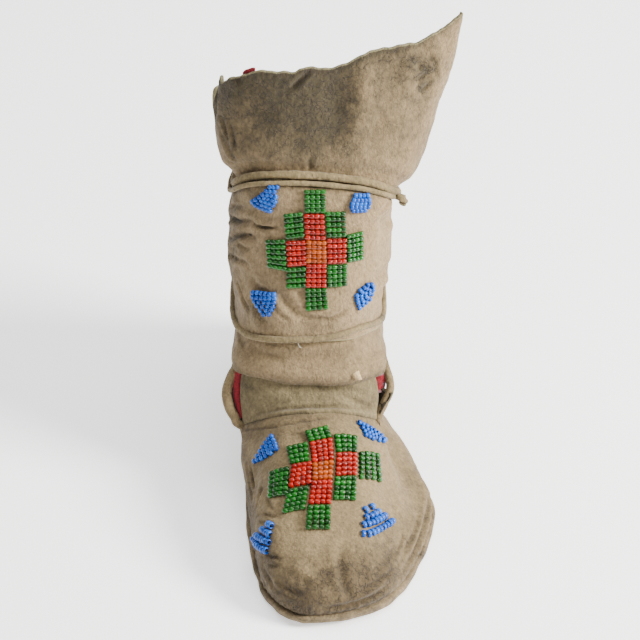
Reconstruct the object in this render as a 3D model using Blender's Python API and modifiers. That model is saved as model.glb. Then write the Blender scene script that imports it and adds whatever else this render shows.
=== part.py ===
"""Beaded moccasin boot, left foot: a hard flat sole, a soft hide upper, a tongue, a slack shaft, a beaded panel round
the shaft, its thongs, and the beadwork laid as thin plates. Metres, +Z up, toe towards -Y, the sole on z = 0.
The tables measure x from the middle of the ankle; main moves the boot so that its whole width is centred on x = 0."""
import math

import bmesh
import bpy
import numpy as np

# Driving sizes, metres
FOOT_L = 0.172        # sole, toe tip to heel
BALL_W = 0.074        # sole, widest
SOLE_T = 0.0034       # sole hide thickness
SOLE_EDGE = 0.0011    # sole beyond the upper
SOLE_SOFT = 0.0007    # corner taken off the sole's edges
ARCH = 0.0012         # sole off the floor under the waist
TOE_SPRING = 0.0020   # toe tip off the floor
HEEL_LIFT = 0.0012    # heel tip off the floor
WALL = 0.0015         # upper, tongue and shaft hide
GAP = 0.0003          # between sewn pieces
INSTEP = 0.0410       # top of the vamp at the tongue seam
SHAFT_H = 0.1650      # front rim above the floor
SHAFT_W = 0.0600      # shaft across, at the panel
SHAFT_D = 0.0830      # shaft front to back, at its hem
LAP = 0.0060          # shaft over the collar of the upper
PANEL_T = 0.0012      # beaded panel hide
THONG = 0.0024        # lower thong across
THONG_TOP = 0.0030    # upper thong across
THONG_STEP = 0.0036   # between its two turns
BEAD_T = 0.0017       # beadwork above the hide
BEAD_GAP = 0.0006     # beadwork off the hide
PUFF = 0.0020         # upper out over the medial edge of the sole
TUCK = 0.0048         # upper in under the lateral ear
TONGUE_TOP = 0.0790   # tongue end inside the shaft
TONGUE_ROOM = 0.0011  # tongue off the inside of the shaft
TONGUE_SPREAD = 0.90  # degrees round the shaft for one round the sole

TURN = 60             # columns round the upper and the shaft
TOE_Y = -FOOT_L / 2


def clear_scene():
    for obj in list(bpy.data.objects):
        bpy.data.objects.remove(obj, do_unlink=True)


def ease(x, xs, ys):
    """A smooth curve through the rows of a table, with no overshoot."""
    xs = np.asarray(xs, float)
    ys = np.asarray(ys, float)
    x = np.clip(np.asarray(x, float), xs[0], xs[-1])
    step = np.diff(xs)
    rise = np.diff(ys) / step
    slope = np.zeros_like(ys)
    slope[0] = rise[0]
    slope[-1] = rise[-1]
    both = rise[1:] * rise[:-1] > 0
    mean = 2 * rise[1:] * rise[:-1] / np.where(both, rise[1:] + rise[:-1], 1)
    slope[1:-1] = np.where(both, mean, 0)
    k = np.clip(np.searchsorted(xs, x, side="right") - 1, 0, len(step) - 1)
    t = (x - xs[k]) / step[k]
    a = (1 + 2 * t) * (1 - t) ** 2
    b = t * (1 - t) ** 2
    c = t * t * (3 - 2 * t)
    d = t * t * (t - 1)
    return a * ys[k] + b * step[k] * slope[k] + c * ys[k + 1] + d * step[k] * slope[k + 1]


def column(table, name, head):
    return [row[head.index(name)] for row in table]


# Sole outline: share of the foot from the toe, then the roundness of each side in shares of the ball width
OUTLINE_HEAD = ("along", "medial", "lateral")
OUTLINE = (
    (0.000, 0.400, 0.800),
    (0.035, 0.412, 0.812),
    (0.090, 0.410, 0.768),
    (0.150, 0.378, 0.722),
    (0.210, 0.364, 0.696),
    (0.270, 0.356, 0.684),
    (0.330, 0.352, 0.676),
    (0.385, 0.346, 0.650),
    (0.440, 0.340, 0.596),
    (0.500, 0.330, 0.546),
    (0.580, 0.305, 0.456),
    (0.660, 0.305, 0.390),
    (0.760, 0.345, 0.385),
    (0.860, 0.450, 0.465),
    (0.940, 0.560, 0.570),
    (1.000, 0.620, 0.630),
)


def outline(turn, inset=0.0):
    """A point of the sole outline in plan, turn 0 at the toe, positive round the lateral side."""
    def at(a):
        share = (1 - math.cos(a)) / 2
        side = "lateral" if math.sin(a) >= 0 else "medial"
        round_ = ease(share, column(OUTLINE, "along", OUTLINE_HEAD), column(OUTLINE, side, OUTLINE_HEAD))
        return np.array([math.sin(a) * float(round_) * BALL_W, TOE_Y + share * FOOT_L])

    p = at(turn)
    if not inset:
        return p
    tangent = at(turn + 0.02) - at(turn - 0.02)
    tangent /= np.linalg.norm(tangent)
    return p + inset * np.array([-tangent[1], tangent[0]])


def sole_lift(y):
    """How far the underside of the sole leaves the floor."""
    share = (y - TOE_Y) / FOOT_L
    toe = TOE_SPRING * max(0.0, (0.16 - share) / 0.16) ** 2
    heel = HEEL_LIFT * max(0.0, (share - 0.93) / 0.07) ** 2
    arch = ARCH * math.exp(-(((share - 0.58) / 0.09) ** 2))
    return toe + heel + arch


# Shaft sections: height and front and back lines in shares of the shaft height and depth, sides in shares of its width
SHAFT_HEAD = ("height", "front", "back", "medial", "lateral", "square")
SHAFT = (
    (0.22, -0.135, 0.930, 0.468, 0.446, 0.50),
    (0.31, -0.088, 0.918, 0.470, 0.450, 0.50),
    (0.36, -0.062, 0.908, 0.466, 0.436, 0.64),
    (0.41, -0.030, 0.896, 0.455, 0.424, 0.72),
    (0.51, 0.040, 0.880, 0.496, 0.484, 0.78),
    (0.58, 0.086, 0.868, 0.486, 0.480, 0.80),
    (0.64, 0.130, 0.856, 0.468, 0.498, 0.82),
    (0.68, 0.162, 0.846, 0.484, 0.580, 0.84),
    (0.74, 0.206, 0.826, 0.560, 0.690, 0.86),
    (0.80, 0.246, 0.796, 0.584, 0.742, 0.90),
    (0.88, 0.300, 0.750, 0.562, 0.800, 0.95),
    (0.96, 0.354, 0.694, 0.542, 0.860, 0.98),
    (1.03, 0.400, 0.640, 0.536, 0.900, 1.00),
    (1.12, 0.456, 0.572, 0.530, 0.926, 1.00),
)


FLAP = 0.0048         # back flap beside the medial slit, beyond the front
FLARE = 0.0046        # front corners of the hem, outwards
CINCH = 0.0022        # groove that the upper thong pulls in


def signed(turn):
    return (turn + math.pi) % (2 * math.pi) - math.pi


def shaft_point(turn, z, out=0.0):
    """A point of the shaft's outer face, turn 0 at the front, positive to the lateral side, moved out by out."""
    share = z / SHAFT_H
    rows = column(SHAFT, "height", SHAFT_HEAD)
    front, back, medial, lateral, square = (
        float(ease(share, rows, column(SHAFT, name, SHAFT_HEAD))) for name in SHAFT_HEAD[1:]
    )
    front *= SHAFT_D
    back *= SHAFT_D
    mid_x = (lateral - medial) * SHAFT_W / 2
    half_x = (lateral + medial) * SHAFT_W / 2
    mid_y = (front + back) / 2
    half_y = (back - front) / 2
    s = math.sin(turn)
    c = math.cos(turn)

    def at(s, c):
        x = math.copysign(abs(s) ** square, s) * half_x
        y = -math.copysign(abs(c) ** square, c) * half_y
        return np.array([mid_x + x, mid_y + y])

    p = at(s, c)
    degrees = math.degrees(signed(turn))
    n = 2 / square
    nx = math.copysign(abs((p[0] - mid_x) / half_x) ** (n - 1), s) / half_x
    ny = -math.copysign(abs((p[1] - mid_y) / half_y) ** (n - 1), c) / half_y
    p[0] -= FLAP * math.exp(-(((degrees + 112) / 20) ** 2) - ((share - 0.92) / 0.07) ** 2)
    out += FLARE * math.exp(-(((abs(degrees) - 56) / 20) ** 2) - ((share - 0.285) / 0.045) ** 2)
    out -= CINCH * math.exp(-(((z - panel_z(turn, "high") - THONG_STEP) / (1.35 * THONG_STEP)) ** 4))
    p = p + out * np.array([nx, ny]) / math.hypot(nx, ny)
    return np.array([p[0], p[1], z])


def turns(count=TURN):
    """Angles round a piece, closer together where the sections turn."""
    return [2 * math.pi * k / count for k in range(count)]


# Rim of the shaft: degrees from the front, height in shares of the shaft height
RIM = (
    (-180, 0.868),
    (-150, 0.872),
    (-126, 0.892),
    (-108, 0.872),
    (-102, 0.852),
    (-96, 0.838),
    (-90, 0.905),
    (-84, 0.945),
    (-54, 0.960),
    (-42, 0.974),
    (-24, 0.984),
    (-18, 0.996),
    (-6, 0.994),
    (6, 1.008),
    (12, 1.028),
    (24, 1.038),
    (40, 1.040),
    (54, 1.060),
    (66, 1.080),
    (78, 1.098),
    (84, 1.104),
    (90, 1.075),
    (96, 0.965),
    (120, 0.920),
    (150, 0.885),
    (180, 0.875),
)
# Hem of the shaft: degrees from the front, height in shares of the shaft height
HEM = ((0, 0.311), (20, 0.311), (45, 0.300), (62, 0.286), (100, 0.277), (180, 0.272))


def rim_z(turn):
    return SHAFT_H * float(np.interp(math.degrees(signed(turn)), [r[0] for r in RIM], [r[1] for r in RIM]))


def hem_z(turn):
    return SHAFT_H * float(ease(abs(math.degrees(signed(turn))), [r[0] for r in HEM], [r[1] for r in HEM]))


# Panel edges: degrees from the front, lower and upper edge in shares of the shaft height
PANEL_HEAD = ("turn", "low", "high")
PANEL = (
    (0, 0.412, 0.748),
    (25, 0.408, 0.742),
    (50, 0.392, 0.712),
    (75, 0.368, 0.664),
    (100, 0.356, 0.640),
    (180, 0.350, 0.622),
)


PANEL_TILT = 0.020    # fall of the panel's upper edge to the lateral side


def panel_z(turn, edge):
    degrees = abs(math.degrees(signed(turn)))
    height = float(ease(degrees, column(PANEL, "turn", PANEL_HEAD), column(PANEL, edge, PANEL_HEAD)))
    return SHAFT_H * (height - (PANEL_TILT * math.sin(turn) if edge == "high" else 0))


# Top edge of the upper: degrees round the sole, side in shares of the shaft width, back from the instep seam in
# shares of the foot, height in shares of the instep, and how far the ears stand out in shares of the shaft width.
COLLAR_HEAD = ("turn", "side", "back", "height", "ear")
COLLAR = (
    (0, 0.000, 0.000, 1.000, 0.00),
    (16, 0.135, 0.003, 0.985, 0.00),
    (32, 0.262, 0.012, 0.920, 0.00),
    (48, 0.366, 0.029, 0.815, 0.00),
    (64, 0.440, 0.050, 0.715, 0.00),
    (72, 0.446, 0.062, 0.755, 0.04),
    (78, 0.448, 0.074, 0.865, 0.09),
    (84, 0.448, 0.088, 0.985, 0.11),
    (90, 0.442, 0.112, 1.120, 0.06),
    (96, 0.435, 0.140, 1.280, 0.00),
)
SEAM_TILT = 0.05      # rise of the seam towards the lateral side
SEAM_Y = -0.0133      # middle of the seam along the foot
SEAM_END = 64         # end of the seam, degrees round the sole
EAR_CURL = 5          # how late up the wall the ears turn out
EAR_LATERAL = 0.80    # lateral ear for one of the medial ear
# Where a column of the upper reaches the shaft: degrees round the sole, degrees round the shaft
MEET = ((84, 62), (96, 71), (115, 93), (145, 136), (180, 180))


def meeting(turn):
    """The turn of the shaft over one turn of the sole."""
    a = signed(turn)
    return math.copysign(math.radians(float(ease(abs(math.degrees(a)), *zip(*MEET)))), a)


def collar(turn):
    """The top edge of the upper over one turn of the sole."""
    a = signed(turn)
    degrees = abs(math.degrees(a))
    meet = meeting(a)
    inner = shaft_point(meet, hem_z(meet) + LAP, -(WALL + 3 * GAP))
    turns_ = column(COLLAR, "turn", COLLAR_HEAD)
    side, back, height = (float(ease(degrees, turns_, column(COLLAR, n, COLLAR_HEAD))) for n in COLLAR_HEAD[1:4])
    x = math.copysign(side * SHAFT_W, a)
    edge = np.array([x, SEAM_Y + back * FOOT_L, height * INSTEP + SEAM_TILT * x])
    mix = float(ease(degrees, (84, 102), (0, 1)))
    return edge * (1 - mix) + inner * mix


# Rise of the upper from the sole to its top edge: how far across and how far up, at the toe, the sides and the heel
RISE_HEAD = ("step", "toe_in", "toe_up", "side_in", "side_up", "heel_in", "heel_up")
RISE = (
    (0.00, 0.000, 0.000, 0.00, 0.00, 0.00, 0.00),
    (0.07, -0.003, 0.080, 0.00, 0.09, -0.06, 0.09),
    (0.14, 0.008, 0.160, 0.09, 0.18, -0.09, 0.18),
    (0.22, 0.045, 0.250, 0.27, 0.27, -0.08, 0.28),
    (0.32, 0.120, 0.360, 0.48, 0.38, -0.02, 0.40),
    (0.44, 0.245, 0.490, 0.68, 0.51, 0.14, 0.54),
    (0.58, 0.415, 0.640, 0.83, 0.65, 0.36, 0.68),
    (0.72, 0.610, 0.780, 0.92, 0.78, 0.60, 0.81),
    (0.86, 0.805, 0.895, 0.98, 0.90, 0.82, 0.91),
    (1.00, 1.000, 1.000, 1.00, 1.00, 1.00, 1.00),
)


def upper_point(turn, step):
    """A point of the upper's outer face, step 0 at the sole and 1 at the top edge."""
    a = signed(turn)
    degrees = abs(math.degrees(a))
    foot = outline(a, SOLE_EDGE)
    low = np.array([foot[0], foot[1], SOLE_T + GAP + sole_lift(foot[1])])
    top = collar(a)
    steps = column(RISE, "step", RISE_HEAD)
    side = float(ease(degrees, (24, 84), (0, 1))) * float(ease(degrees, (115, 160), (1, 0)))
    heel = float(ease(degrees, (115, 160), (0, 1)))
    weights = {"toe": 1 - side - heel, "side": side, "heel": heel}
    share_in = sum(w * float(ease(step, steps, column(RISE, k + "_in", RISE_HEAD))) for k, w in weights.items())
    share_up = sum(w * float(ease(step, steps, column(RISE, k + "_up", RISE_HEAD))) for k, w in weights.items())
    ear = float(ease(degrees, column(COLLAR, "turn", COLLAR_HEAD), column(COLLAR, "ear", COLLAR_HEAD)))
    ear *= 1 if a < 0 else EAR_LATERAL
    flare = math.copysign(ear * SHAFT_W * step ** EAR_CURL, a)
    if a < 0:
        flare -= PUFF * float(ease(degrees, (12, 28, 46, 78), (0, 1, 0.5, 0))) * math.sin(math.pi * min(1, step / 0.8))
    else:
        flare -= TUCK * float(ease(degrees, (56, 78, 100, 125), (0, 1, 1, 0))) * math.sin(math.pi * step) ** 2
    point = low + (top - low) * np.array([share_in, share_in, share_up]) + np.array([flare, 0, 0])
    if degrees > 80:
        meet = meeting(a)
        under = float(ease(point[2] - hem_z(meet), (-0.0068, -0.0027), (0, 1)))
        point[:2] += under * (shaft_point(meet, point[2], -(WALL + 3 * GAP))[:2] - point[:2])
    return point


def tongue_point(turn, step):
    """A point of the tongue's outer face: from the seam up behind the hem, then close inside the shaft."""
    a = signed(turn)
    seam = collar(a)
    meet = a * TONGUE_SPREAD
    z = INSTEP + (TONGUE_TOP - INSTEP) * step
    inner = shaft_point(meet, max(z, hem_z(meet) - 0.67 * LAP), -(WALL + TONGUE_ROOM))
    inner[2] = z - (1 - step) * 0.10 * abs(meet) * INSTEP
    mix = float(ease(step, (0, 0.13, 0.27, 1), (0, 0.55, 1, 1)))
    return seam * (1 - mix) + inner * mix


def loft(name, rows, closed=True, loop=False):
    """Faces between rows of points of equal length: closed round, looped end to end when it is a ring."""
    count = len(rows[0])
    verts = [tuple(p) for row in rows for p in row]
    faces = []
    span = count if closed else count - 1
    last = len(rows) if loop else len(rows) - 1
    for i in range(last):
        for k in range(span):
            n = (k + 1) % count
            j = (i + 1) % len(rows)
            faces.append((i * count + k, i * count + n, j * count + n, j * count + k))
    mesh = bpy.data.meshes.new(name)
    mesh.from_pydata(verts, [], faces)
    mesh.update()
    return bpy.data.objects.new(name, mesh)


def thicken(obj, amount, even=True):
    """A shell behind the built face."""
    mod = obj.modifiers.new("wall", "SOLIDIFY")
    mod.thickness = amount
    mod.offset = -1
    mod.use_even_offset = even
    mod.use_rim = True
    return obj


def face_out(obj):
    bm = bmesh.new()
    bm.from_mesh(obj.data)
    bmesh.ops.recalc_face_normals(bm, faces=bm.faces)
    bm.to_mesh(obj.data)
    bm.free()


def smooth(obj):
    for face in obj.data.polygons:
        face.use_smooth = True


def material(name, colour, rough):
    mat = bpy.data.materials.new(name)
    mat.use_nodes = True
    shader = mat.node_tree.nodes["Principled BSDF"]
    shader.inputs["Base Color"].default_value = (*colour, 1)
    shader.inputs["Roughness"].default_value = rough
    shader.inputs["Metallic"].default_value = 0
    return mat


def finish(obj, collection, colour, rough):
    obj.data.materials.append(material(obj.name + "_finish", colour, rough))
    smooth(obj)
    collection.objects.link(obj)
    return obj


def build_sole():
    """The flat sole: an outline solid with its lower and upper corners taken off."""
    rings = []
    angles = turns(72)
    edge = ((SOLE_SOFT, 0.0), (0.0, SOLE_SOFT), (0.0, SOLE_T - SOLE_SOFT), (SOLE_SOFT, SOLE_T))
    for inset, z in edge:
        ring = []
        for a in angles:
            p = outline(a, inset)
            ring.append((p[0], p[1], z + sole_lift(p[1])))
        rings.append(ring)
    count = len(rings[0])
    verts = [p for ring in rings for p in ring]
    faces = []
    for i in range(len(rings) - 1):
        for k in range(count):
            n = (k + 1) % count
            faces.append((i * count + k, i * count + n, (i + 1) * count + n, (i + 1) * count + k))
    mesh = bpy.data.meshes.new("sole")
    # The broad faces are strips between the two sides, so that they can follow the toe spring
    half = count // 2
    for base, flip in ((0, True), (3 * count, False)):
        for k in range(1, half):
            a, b = base + k, base + (k + 1) % count
            c, d = base + (count - k - 1) % count, base + (count - k) % count
            face = (a, b, c, d) if k < half - 1 else (a, b, d)
            faces.append(face[::-1] if flip else face)
        face = (base, base + 1, base + count - 1)
        faces.append(face[::-1] if flip else face)
    mesh.from_pydata(verts, [], faces)
    mesh.update()
    obj = bpy.data.objects.new("sole", mesh)
    face_out(obj)
    return obj


def upper_turns():
    """Columns round the upper: even at the toe, close together at the ears, wide apart at the heel."""
    half = [math.radians(6 * k) for k in range(11)]
    half += [math.radians(60 + 3.5 * k) for k in range(1, 13)]
    half += [math.radians(102 + 78 * k / 9) for k in range(1, 10)]
    return half + [2 * math.pi - a for a in reversed(half[1:-1])]


def build_upper():
    steps = (0.0, 0.07, 0.14, 0.22, 0.31, 0.41, 0.51, 0.61, 0.71, 0.81, 0.91, 1.0)
    rows = [[upper_point(a, s) for a in upper_turns()] for s in steps]
    obj = loft("upper", rows)
    face_out(obj)
    return thicken(obj, WALL, even=False)


def build_tongue():
    span = math.radians(SEAM_END - 3)
    across = [span * (2 * k / 14 - 1) for k in range(15)]
    rows = []
    for s in (0.0, 0.08, 0.16, 0.25, 0.36, 0.52, 0.76, 1.0):
        rows.append([tongue_point(a, s) for a in across])
    first = np.array(rows[0])
    along = np.array(rows[1]) - first
    along /= np.linalg.norm(along, axis=1)[:, None]
    rows[0] = list(first + along * 2 * GAP)
    obj = loft("tongue", rows, closed=False)
    face_up(obj)
    return thicken(obj, WALL)


def shaft_rows(turn):
    """Heights of the shaft's rows at one turn: the hem, the panel's edges, the thong's groove and the rim."""
    high = panel_z(turn, "high")
    marks = (hem_z(turn), panel_z(turn, "low"), high, high + THONG_STEP, high + 2.4 * THONG_STEP, rim_z(turn))
    heights = []
    for low, high, count in zip(marks, marks[1:], SHAFT_STEPS):
        heights += [low + (high - low) * k / count for k in range(count)]
    return heights + [marks[-1]]


SHAFT_STEPS = (2, 6, 1, 1, 4)   # rows below the panel, behind it, in the groove and above it


def shaft_normal(turn, z):
    e = 0.0005
    around = shaft_point(turn + 0.02, z) - shaft_point(turn - 0.02, z)
    up = shaft_point(turn, z + e) - shaft_point(turn, z - e)
    n = np.cross(around, up)
    return n / np.linalg.norm(n)


def off_shaft(turn, z, out):
    return shaft_point(turn, z) + shaft_normal(turn, z) * out


def build_shaft():
    columns = [[shaft_point(a, z) for z in shaft_rows(a)] for a in turns()]
    obj = loft("shaft", list(map(list, zip(*columns))))
    face_out(obj)
    return thicken(obj, WALL)


def build_panel():
    first = SHAFT_STEPS[0]
    last = first + SHAFT_STEPS[1]
    columns = [[off_shaft(a, z, GAP + PANEL_T) for z in shaft_rows(a)[first:last + 1]] for a in turns()]
    obj = loft("shaft_panel", list(map(list, zip(*columns))))
    face_out(obj)
    return thicken(obj, PANEL_T)


def cord(name, path, across, sides=6, ring=True):
    """A round cord swept along a path of points."""
    path = np.array(path)
    rows = []
    for k in range(len(path)):
        before = path[k - 1] if ring or k else path[k]
        after = path[(k + 1) % len(path)] if ring or k < len(path) - 1 else path[k]
        along = after - before
        along /= np.linalg.norm(along)
        side = np.cross(along, (0, 0, 1))
        side /= np.linalg.norm(side)
        up = np.cross(side, along)
        taper = across[k] / 2 if np.ndim(across) else across / 2
        angles = (2 * math.pi * i / sides for i in range(sides))
        rows.append([path[k] + taper * (math.cos(t) * side + math.sin(t) * up) for t in angles])
    obj = loft(name, rows, loop=ring)
    if not ring:
        bm = bmesh.new()
        bm.from_mesh(obj.data)
        bmesh.ops.holes_fill(bm, edges=bm.edges, sides=sides)
        bm.to_mesh(obj.data)
        bm.free()
    face_out(obj)
    return obj


def build_lower_thong():
    path = []
    for a in turns(48):
        z = panel_z(a, "low") - THONG * 0.62
        path.append(off_shaft(a, z, THONG / 2 + 2 * GAP))
    return cord("thong_lower", path, THONG)


def build_upper_thong():
    """Two turns of one thong above the panel, its cut end standing off at the lateral side. It steps up at the back, so
    that the second turn lies clear of the first."""
    path, across = [], []
    count = 48
    for k in range(int(1.84 * count) + 1):
        turn = math.radians(84) - 2 * math.pi * k / count
        rise = THONG_STEP * float(ease(k / count, (0, 0.85, 0.99, 2), (0, 0, 1, 1)))
        z = panel_z(turn, "high") + THONG_TOP * 0.86 + rise
        room = 4.3 + 2.1 * max(0.0, math.cos(turn)) + max(0.0, math.sin(turn))
        path.append(shaft_point(turn, z, THONG_TOP / 2 + room * GAP))
        across.append(THONG_TOP)
    end = path[0] + THONG_TOP * np.array([1.07, 0.53, -0.40])
    return cord("thong_upper", [end] + path, [THONG_TOP] + across, ring=False)


def face_up(obj):
    """Turn an open sheet so that its built face looks up and outwards."""
    total = sum((f.normal * f.area for f in obj.data.polygons), obj.data.polygons[0].normal * 0)
    if total.z - total.y < 0:
        obj.data.flip_normals()
        obj.data.update()


def vamp_turn(x, y):
    """The turn and step of the upper's outer face at a place in plan."""
    a = math.atan2(x, 0.35 * FOOT_L)
    step = 0.65
    for _ in range(12):
        p = upper_point(a, step)
        miss = np.array([x - p[0], y - p[1]])
        da = (upper_point(a + 0.01, step) - p)[:2] / 0.01
        ds = (upper_point(a, step + 0.01 if step < 0.9 else step - 0.01) - p)[:2] / (0.01 if step < 0.9 else -0.01)
        move = np.linalg.solve(np.array([da, ds]).T, miss)
        a += float(np.clip(move[0], -0.3, 0.3))
        step = min(0.999, max(0.02, step + float(np.clip(move[1], -0.2, 0.2))))
    return a, step


def off_vamp(x, y, out):
    a, step = vamp_turn(x, y)
    e = 0.01
    low = min(step, 0.98)
    n = np.cross(upper_point(a + e, step) - upper_point(a - e, step), upper_point(a, low + e) - upper_point(a, low - e))
    n /= np.linalg.norm(n)
    return upper_point(a, step) + n * math.copysign(out, n[2])


def panel_turn(x, z, out):
    """The turn at which the shaft's face, moved out by out, is at x."""
    low, high = math.radians(-85), math.radians(85)
    for _ in range(30):
        mid = (low + high) / 2
        if off_shaft(mid, z, out)[0] < x:
            low = mid
        else:
            high = mid
    return low


def on_panel(x, z):
    out = GAP + PANEL_T + BEAD_GAP + BEAD_T
    return off_shaft(panel_turn(x, z, out), z, out)


def on_vamp(x, y):
    return off_vamp(x, y, BEAD_GAP + BEAD_T)


def vamp_corner(turn, step):
    """The plan of a place on the vamp given in degrees round the sole and the share of the rise."""
    return upper_point(math.radians(turn), step)[:2]


# Stepped crosses, in shares of the width and length that carry them: place, lane across, block along, how far a lane
# fans out, slips and bows beside the next, and how much longer the outer blocks are
CROSS_HEAD = ("x", "along", "lane", "block", "fan", "slip", "bow", "swell")
PANEL_CROSS = dict(zip(CROSS_HEAD, (0.0350, 0.6060, 0.1233, 0.0533, 0.0, 0.0, 0.0, 0.25)))
VAMP_CROSS = dict(zip(CROSS_HEAD, (0.0486, -0.2419, 0.1122, 0.0494, 0.0027, 0.0145, 0.0058, 0.45)))
# Blocks of each lane, first and last, five lanes
LANES = ((2, 3), (1, 4), (0, 5), (1, 4), (2, 3))

# Corner triangles of the panel: across in shares of the shaft width and up in shares of the shaft height
PANEL_CORNERS = {
    "upper_medial": ((-0.368, 0.694), (-0.220, 0.741), (-0.220, 0.691)),
    "upper_lateral": ((0.233, 0.719), (0.308, 0.697), (0.358, 0.730)),
    "lower_medial": ((-0.373, 0.501), (-0.222, 0.516), (-0.267, 0.460)),
    "lower_lateral": ((0.273, 0.517), (0.392, 0.512), (0.317, 0.466)),
}
# Corner triangles of the vamp: degrees round the sole and share of the rise
VAMP_CORNERS = {
    "ankle_medial": ((-49, 0.68), (-31, 0.91), (-25, 0.84)),
    "ankle_lateral": ((34, 0.94), (62, 0.78), (37, 0.87)),
    "toe_medial": ((-26, 0.48), (-27, 0.32), (-44, 0.30)),
    "toe_lateral": ((25, 0.56), (39, 0.36), (18, 0.44)),
}


def cross_plate(name, place, cross, width, length):
    """A thin stepped cross on the hide: place gives its outer face for a place across and along."""
    verts, faces, seen = [], [], {}

    def vert(i, j):
        if (i, j) not in seen:
            seen[i, j] = len(verts)
            u = i / 2 - 2.5
            across = cross["x"] + cross["lane"] * u + cross["fan"] * u * u
            along = cross["along"] + cross["slip"] * u + cross["bow"] * u * u
            along += (j / 2 - 2.5) * cross["block"] * (1 + cross["swell"] * (u / 2) ** 2)
            verts.append(tuple(place(across * width, along * length)))
        return seen[i, j]

    for k, (low, high) in enumerate(LANES):
        for i in (2 * k, 2 * k + 1):
            for j in range(2 * low, 2 * high):
                faces.append((vert(i, j), vert(i + 1, j), vert(i + 1, j + 1), vert(i, j + 1)))
    mesh = bpy.data.meshes.new(name)
    mesh.from_pydata(verts, [], faces)
    mesh.update()
    obj = bpy.data.objects.new(name, mesh)
    face_up(obj)
    return thicken(obj, BEAD_T)


def corner_plate(name, place, corners):
    """A thin three-cornered plate on the hide."""
    a, b, c = (np.array(p) for p in corners)
    verts, rows = [], []
    for i in range(4):
        rows.append([])
        for j in range(i + 1):
            p = a + (b - a) * i / 3 + (c - b) * j / 3
            rows[-1].append(len(verts))
            verts.append(tuple(place(*p)))
    faces = []
    for i in range(3):
        for j in range(i + 1):
            faces.append((rows[i][j], rows[i + 1][j], rows[i + 1][j + 1]))
            if j < i:
                faces.append((rows[i][j], rows[i + 1][j + 1], rows[i][j + 1]))
    mesh = bpy.data.meshes.new(name)
    mesh.from_pydata(verts, [], faces)
    mesh.update()
    obj = bpy.data.objects.new(name, mesh)
    face_up(obj)
    return thicken(obj, BEAD_T)


def main():
    clear_scene()
    boot = bpy.data.collections.new("beaded_moccasin_boot")
    bpy.context.scene.collection.children.link(boot)
    hide = (0.38, 0.32, 0.24)
    finish(build_sole(), boot, (0.24, 0.19, 0.13), 0.8)
    finish(build_upper(), boot, hide, 0.9)
    finish(build_tongue(), boot, hide, 0.9)
    finish(build_shaft(), boot, hide, 0.9)
    finish(build_panel(), boot, hide, 0.9)
    finish(build_lower_thong(), boot, hide, 0.85)
    finish(build_upper_thong(), boot, hide, 0.85)
    green = (0.03, 0.20, 0.04)
    blue = (0.03, 0.16, 0.50)
    finish(cross_plate("beads_panel_cross", on_panel, PANEL_CROSS, SHAFT_W, SHAFT_H), boot, green, 0.25)
    finish(cross_plate("beads_vamp_cross", on_vamp, VAMP_CROSS, BALL_W, FOOT_L), boot, green, 0.25)
    for key, corners in PANEL_CORNERS.items():
        corners = [(x * SHAFT_W, z * SHAFT_H) for x, z in corners]
        finish(corner_plate("beads_panel_" + key, on_panel, corners), boot, blue, 0.3)
    for key, corners in VAMP_CORNERS.items():
        corners = [vamp_corner(*c) for c in corners]
        finish(corner_plate("beads_vamp_" + key, on_vamp, corners), boot, blue, 0.3)
    across = [shaft_point(a, z)[0] for a in turns() for z in shaft_rows(a)]
    for obj in boot.objects:
        obj.location.x = -(max(across) + min(across)) / 2


main()
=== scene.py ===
"""Looks of the beaded moccasin boot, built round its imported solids. Metres, +Z up, toe towards -Y, left foot.
The tables measure x from the middle of the ankle, as the solids' own tables do; SHIFT moves all to the frame."""
import math

import bpy
import numpy as np
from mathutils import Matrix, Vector, noise


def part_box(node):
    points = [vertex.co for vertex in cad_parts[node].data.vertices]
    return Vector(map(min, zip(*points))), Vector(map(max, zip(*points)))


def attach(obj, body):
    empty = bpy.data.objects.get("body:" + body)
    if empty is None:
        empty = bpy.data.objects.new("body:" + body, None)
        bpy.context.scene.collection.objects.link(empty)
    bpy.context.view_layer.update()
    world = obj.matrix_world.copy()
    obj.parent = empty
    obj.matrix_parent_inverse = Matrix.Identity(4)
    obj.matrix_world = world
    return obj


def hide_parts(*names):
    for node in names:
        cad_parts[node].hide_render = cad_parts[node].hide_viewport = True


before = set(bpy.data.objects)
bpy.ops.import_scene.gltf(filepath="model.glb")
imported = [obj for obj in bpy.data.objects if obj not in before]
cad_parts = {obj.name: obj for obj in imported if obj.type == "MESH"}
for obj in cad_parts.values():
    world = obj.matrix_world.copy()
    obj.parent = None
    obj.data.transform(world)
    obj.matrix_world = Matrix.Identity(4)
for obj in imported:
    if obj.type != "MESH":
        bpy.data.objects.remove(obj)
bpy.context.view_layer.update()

# Sizes of the boot, as in its solids
FOOT_L = 0.172        # sole, toe tip to heel
BALL_W = 0.074        # sole, widest
SOLE_T = 0.0034       # sole hide thickness
SOLE_EDGE = 0.0011    # sole beyond the upper
ARCH = 0.0012         # sole off the floor under the waist
TOE_SPRING = 0.0020   # toe tip off the floor
HEEL_LIFT = 0.0012    # heel tip off the floor
WALL = 0.0015         # upper, tongue and shaft hide
GAP = 0.0003          # between sewn pieces
INSTEP = 0.0410       # top of the vamp at the tongue seam
SHAFT_H = 0.1650      # front rim above the floor
SHAFT_W = 0.0600      # shaft across, at the panel
SHAFT_D = 0.0830      # shaft front to back, at its hem
LAP = 0.0060          # shaft over the collar of the upper
PANEL_T = 0.0012      # beaded panel hide
THONG = 0.0024        # lower thong across
THONG_STEP = 0.0036   # between the two turns of the upper thong
PUFF = 0.0020         # upper out over the medial edge of the sole
TUCK = 0.0048         # upper in under the lateral ear
TONGUE_TOP = 0.0790   # tongue end inside the shaft
TONGUE_ROOM = 0.0011  # tongue off the inside of the shaft
TONGUE_SPREAD = 0.90  # degrees round the shaft for one round the sole
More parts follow.
